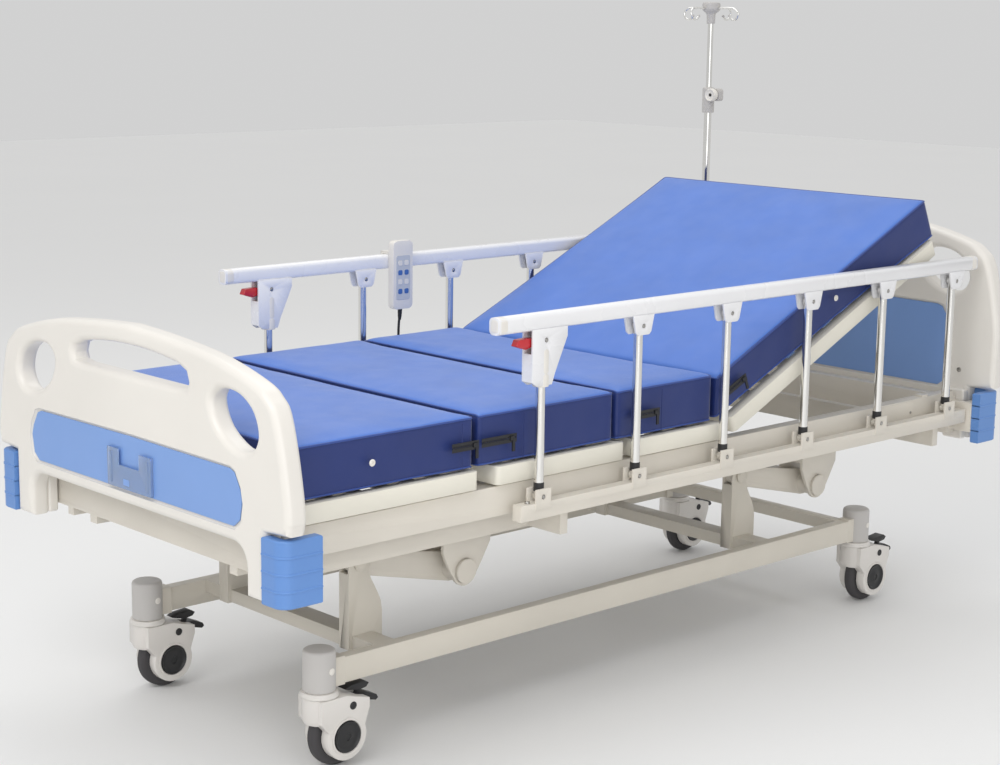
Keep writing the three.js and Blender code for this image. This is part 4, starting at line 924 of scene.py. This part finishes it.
def end_board(end, rise):
    node = f"{end}board"
    sign = ENDS[end]
    low, high = box(node)
    half = high.y
    outer = low.x if sign < 0 else high.x
    inner = outer - sign * 0.045
    outline, slot, hole = board_lines(rise, half)
    plate = outline_plate(f"{node}_plate", [outline, slot, hole, [(-y, z) for y, z in hole]],
                          "x", min(outer, inner), max(outer, inner), 0.0135, 5)
    cutters = []
    for face, out in ((outer, sign), (inner, -sign)):
        cutter = outline_plate(f"{node}_cutter", [panel_line(rise, half)], "x",
                               *sorted((face - out * 0.0052, face + out * 0.03)), 0.0045, 3)
        recess = plate.modifiers.new("recess", "BOOLEAN")
        recess.operation = "DIFFERENCE"
        recess.solver = "EXACT"
        recess.object = cutter
        cutters.append(cutter)
    graph = bpy.context.evaluated_depsgraph_get()
    cut_mesh = bpy.data.meshes.new_from_object(plate.evaluated_get(graph))
    plate.modifiers.clear()
    plate.data = cut_mesh
    for cutter in cutters:
        bpy.data.objects.remove(cutter)
    soften(plate, 50)
    leg_face = outer - sign * 0.063
    legs = []
    for side in (-1, 1):
        a, b = sorted((side * (half - 0.125), side * (half - 0.070)))
        legs.append(outline_plate(f"{node}_leg_{side}", [rounded_rect(a, b, 0.394, 0.516, 0.006)], "x",
                                  min(leg_face, inner + sign * 0.004), max(leg_face, inner + sign * 0.004), 0.005, 3))
    board = merged(f"{node}_shell", [plate] + legs)
    dress(board, "board", node, replaces=True)
    for name, face, out in (("outer", outer, sign), ("inner", inner, -sign)):
        back = face - out * 0.0050
        panel = outline_plate(f"{node}_panel_{name}", [panel_line(rise, half, 0.0055)], "x",
                              *sorted((back, back + out * 0.003)), 0.0012, 2)
        dress(panel, "panel", node)
    for side in (-1, 1):
        screw = lathe(f"{node}_screw_{'far' if side > 0 else 'near'}", [
            (0, 0), (0.006, 0), (0.0056, 0.0016), (0.0035, 0.0024), (0, 0.0022)],
            (inner - sign * 0.0004, side * (half - 0.098), 0.56), (-sign, 0, 0), 18)
        dress(screw, "steel", node)


def bumper(end, side):
    node = f"bumper_{end}_{side}"
    low, high = box(node)
    ex, sy = ENDS[end], SIDES[side]
    nose = high.x if ex > 0 else low.x
    tail = low.x if ex > 0 else high.x
    out = high.y if sy > 0 else low.y
    inner = low.y if sy > 0 else high.y
    wall, radius = 0.022, 0.026

    def outline(grow):
        """Round the outer corner, then back along the inside of the wall."""
        corner = [(nose - ex * (radius - math.cos(t) * (radius + grow)) , out - sy * (radius - math.sin(t) * (radius + grow)))
                  for t in [math.radians(90 * k / 8) for k in range(9)]]
        return ([(nose + ex * grow, inner)] + corner + [(tail, out + sy * grow), (tail, out - sy * wall),
                (nose - ex * wall, out - sy * wall), (nose - ex * wall, inner)])
    shell = outline_plate(f"{node}_shell", [outline(0)], "z", low.z, high.z, 0.0035, 3)
    dress(shell, "bumper", node, replaces=True)
    tall = high.z - low.z
    for i in range(3):
        z = low.z + tall * (0.25 + 0.25 * i)
        ridge = outline_plate(f"{node}_ridge_{i + 1}", [outline(0.0011)], "z", z - 0.0024, z + 0.0024, 0.0014, 2)
        dress(ridge, "bumper", node)


def chart_pocket():
    node = "chart_holder"
    rounded_cad(node, 0.0006, "clear")
    low, high = box(node)
    label = outline_plate("pocket_label", [rounded_rect(-0.008, 0.012, low.z + 0.008, low.z + 0.020, 0.001)],
                          "x", low.x - 0.0006, low.x + 0.0004, 0.0002, 1)
    dress(label, "panel", node)
    for i, y in enumerate((low.y + 0.012, high.y - 0.012)):
        clip = outline_plate(f"pocket_clip_{i + 1}", [rounded_rect(y - 0.004, y + 0.004, low.z + 0.006, high.z - 0.008,
                             0.002)], "x", low.x - 0.0012, low.x + 0.0006, 0.0008, 1)
        dress(clip, "clear", node)


end_board("foot", 0.0)
end_board("head", 0.097)
for end in ENDS:
    for side in SIDES:
        bumper(end, side)
chart_pocket()


# ---------------------------------------------------------------- side rails

def side_rail(side):
    node = f"handrail_{side}"
    sign = SIDES[side]
    low, high = box(node)
    y = (low.y + high.y) / 2
    grip_low = high.z - 0.033
    rounded_cad(node, 0.0012, "alloy")
    for end, x, out in (("foot", low.x, -1), ("head", high.x, 1)):
        section = rounded_rect(y - 0.0144, y + 0.0144, grip_low - 0.0004, high.z + 0.0004, 0.0105, 5)
        cap = outline_plate(f"rail_cap_{end}_{side}", [section], "x", x - 0.0004 if out < 0 else x - 0.026,
                            x + 0.026 if out < 0 else x + 0.0004, 0.007, 4)
        dress(cap, "board", node)
    rounded_cad(f"lower_rail_{side}", 0.0015, "frame")
    rounded_cad(f"release_lever_{side}", 0.0022, "red", 3)
    for i in POSTS:
        rail_post(side, i, y)
    first = box(f"rail_post_{side}_1")
    post_x = (first[0].x + first[1].x) / 2
    sleeve = lathe(f"latch_sleeve_{side}", [
        (0.0102, 0.701), (0.0152, 0.7015), (0.0162, 0.7035), (0.0162, 0.7235), (0.0150, 0.7255), (0.0150, 0.7285),
        (0.0158, 0.730), (0.0158, 0.7705), (0.0140, 0.776), (0.0102, 0.777)], (post_x, y, 0), (0, 0, 1), 32)
    dress(sleeve, "board", node)
    bolt = lathe(f"rail_bolt_{side}", [(0, -0.006), (0.0052, -0.006), (0.0055, 0.002), (0.004, 0.0045), (0, 0.005)],
                 (post_x - 0.03, y, 0.476), (0, 0, 1), 18)
    dress(bolt, "steel", f"lower_rail_{side}")


def rail_post(side, i, y):
    """One plated post with its two pivot barrels, the pins through them and a black sleeve near its foot."""
    node = f"rail_post_{side}_{i}"
    low, high = box(node)
    x = (low.x + high.x) / 2
    low_z, high_z = 0.487, 0.792
    shank = rod(f"{node}_shank", (x, y, low_z), (x, y, high_z), 0.0095, 0.0005, 32)
    barrels = [rod(f"{node}_barrel_{n}", (x, y - 0.0095, z), (x, y + 0.0095, z), 0.0095, 0.0015, 24)
               for n, z in enumerate((low_z, high_z))]
    post = merged(f"{node}_tube", [shank] + barrels)
    dress(post, "chrome", node, replaces=True)
    for n, z in enumerate((low_z, high_z)):
        pin = rod(f"{node}_pin_{n + 1}", (x, y - 0.0155, z), (x, y + 0.0155, z), 0.0040, 0.0012, 18)
        dress(pin, "steel", node)
    foot = lathe(f"{node}_boot", [
        (0.0097, 0.497), (0.0103, 0.497), (0.0103, 0.512), (0.0100, 0.514), (0.0097, 0.514)], (x, y, 0), (0, 0, 1), 24)
    dress(foot, "black", node)


for side in SIDES:
    side_rail(side)


# ---------------------------------------------------------------- infusion pole

def infusion_pole():
    low, high = box("iv_pole_lower")
    top_low, top_high = box("iv_pole_upper")
    x = (top_low.x + top_high.x) / 2
    y = (top_low.y + top_high.y) / 2
    at = (x, y, 0)
    tube = lathe("pole_tube", [(0.0082, low.z), (0.0096, low.z), (0.0100, low.z + 0.001), (0.0100, 1.146),
                               (0.0082, 1.146), (0.0082, low.z)], at, (0, 0, 1), 32)
    dress(tube, "chrome", "iv_pole_lower", replaces=True)
    collar = lathe("pole_collar", [
        (0.0084, 1.144), (0.0150, 1.144), (0.0160, 1.1455), (0.0160, 1.2065), (0.0150, 1.2090), (0.0120, 1.2110),
        (0.0084, 1.211)], at, (0, 0, 1), 36)
    dress(collar, "grey", "iv_pole_lower")
    ear = outline_plate("pole_ear", [rounded_rect(y - 0.045, y - 0.011, 1.1755, 1.2085, 0.008)], "x",
                        x - 0.0088, x + 0.0088, 0.002, 3)
    dress(ear, "grey", "iv_pole_lower")
    rod_piece = rod("pole_rod", (x, y, top_low.z), (x, y, top_high.z - 0.04), 0.0077, 0.0012, 32)
    dress(rod_piece, "chrome", "iv_pole_upper", replaces=True)
    hub = lathe("pole_hub", [
        (0.0078, 1.3772), (0.0102, 1.3772), (0.0110, 1.3785), (0.0116, 1.4005), (0.0140, 1.4045), (0.0212, 1.4105),
        (0.0236, 1.4135), (0.0240, 1.4165), (0.0240, 1.4275), (0.0225, 1.4315), (0.0180, 1.4330), (0, 1.4330)],
        at, (0, 0, 1), 40)
    dress(hub, "grey", "iv_pole_upper")
    for quarter in range(4):
        turn = Matrix.Translation(at) @ Matrix.Rotation(math.radians(90 * quarter), 4, "Z")
        far = 0.087
        points = [(0.018, 0, 1.418), (far - 0.024, 0, 1.418), (far - 0.008, 0.004, 1.415), (far, 0.007, 1.403),
                  (far - 0.007, 0.008, 1.390), (far - 0.020, 0.007, 1.388), (far - 0.030, 0.007, 1.397)]
        line = smooth_line([turn @ Vector(p) for p in points], 7)
        hook = wire(f"pole_hook_{quarter + 1}", line, 0.0029, sides=4)
        dress(hook, "chrome", "iv_pole_upper")
        tip = lathe(f"pole_tip_{quarter + 1}", [
            (0, -0.0036), (0.0026, -0.0030), (0.0038, -0.0008), (0.0038, 0.0010), (0.0026, 0.0030), (0, 0.0036)],
            turn @ Vector(points[-1]), (0, 0, 1), 16)
        dress(tip, "grey", "iv_pole_upper")
    knob_low, knob_high = box("iv_knob")
    ky, kz = (knob_low.y + knob_high.y) / 2, (knob_low.z + knob_high.z) / 2
    face = x - 0.010
    knob = lathe("pole_knob_cup", [
        (0, 0), (0.0105, 0), (0.0125, 0.0015), (0.0160, 0.008), (0.0170, 0.012), (0.0170, 0.0195), (0.0155, 0.0220),
        (0.0135, 0.0215), (0.0115, 0.0190), (0.0070, 0.0185), (0, 0.0185)], (face, ky, kz), (-1, 0, 0), 40)
    dress(knob, "board", "iv_knob", replaces=True)
    dot = lathe("pole_knob_dot", [(0, 0), (0.0042, 0), (0.0042, 0.0018), (0.003, 0.0026), (0, 0.0026)],
                (face - 0.0184, ky, kz), (-1, 0, 0), 18)
    dress(dot, "black", "iv_knob")


infusion_pole()


# ---------------------------------------------------------------- handset

def handset():
    rounded_cad("pendant", 0.004, "board", 3)
    low, high = box("pendant")
    face = low.y
    mid = (low.x + high.x) / 2
    plate = outline_plate("handset_face", [rounded_rect(mid - 0.021, mid + 0.021, low.z + 0.022, high.z - 0.034, 0.006)],
                          "y", face - 0.0008, face + 0.0006, 0.0005, 2)
    dress(plate, "keypad", "pendant")
    for row in range(4):
        z = high.z - 0.052 - row * 0.022
        for column, x in enumerate((mid - 0.0095, mid + 0.0095)):
            key = outline_plate(f"handset_key_{row + 1}_{column + 1}",
                                [rounded_rect(x - 0.0062, x + 0.0062, z - 0.006, z + 0.006, 0.0035)],
                                "y", face - 0.0018, face - 0.0006, 0.0006, 2)
            dress(key, "keys" if row % 2 else "board", "pendant")


handset()


# ---------------------------------------------------------------- studio

def studio():
    world = bpy.data.worlds.new("studio")
    scene.world = world
    world.use_nodes = True
    tree = world.node_tree
    background = tree.nodes["Background"]
    place = tree.nodes.new("ShaderNodeTexCoord")
    split = tree.nodes.new("ShaderNodeSeparateXYZ")
    ramp = tree.nodes.new("ShaderNodeValToRGB")
    stops = ramp.color_ramp
    stops.elements[0].position = 0.0
    stops.elements[0].color = (0.80, 0.80, 0.80, 1)
    stops.elements[1].position = 0.6
    stops.elements[1].color = (1.0, 1.0, 1.0, 1)
    tree.links.new(place.outputs["Generated"], split.inputs[0])
    tree.links.new(split.outputs["Z"], ramp.inputs["Fac"])
    tree.links.new(ramp.outputs["Color"], background.inputs["Color"])
    background.inputs["Strength"].default_value = 0.8

    def build(solid):
        bmesh.ops.create_grid(solid, x_segments=1, y_segments=1, size=16)
    floor = mesh_from("floor", build)
    floor.location.z = -0.0005
    finish = Finish("floor_pale", (0.84, 0.84, 0.835, 1), 0.75).mottle(0.7, 0.01)
    floor.data.materials.append(finish.material)

    def lamp(name, place, target, size, power):
        light = bpy.data.lights.new(name, "AREA")
        light.shape = "DISK"
        light.size = size
        light.energy = power
        piece = into(light, name)
        piece.location = place
        piece.rotation_euler = (Vector(target) - Vector(place)).to_track_quat("-Z", "Y").to_euler()
    lamp("key_light", (-3.2, -1.2, 3.2), (0, 0, 0.4), 2.4, 48)
    lamp("top_light", (0.8, 1.2, 4.2), (0, 0, 0.5), 3.0, 30)
    lamp("fill_light", (-2.6, -4.4, 1.5), (0.2, 0, 0.5), 3.0, 40)
    scene.view_settings.view_transform = "Standard"
    scene.view_settings.look = "None"


studio()
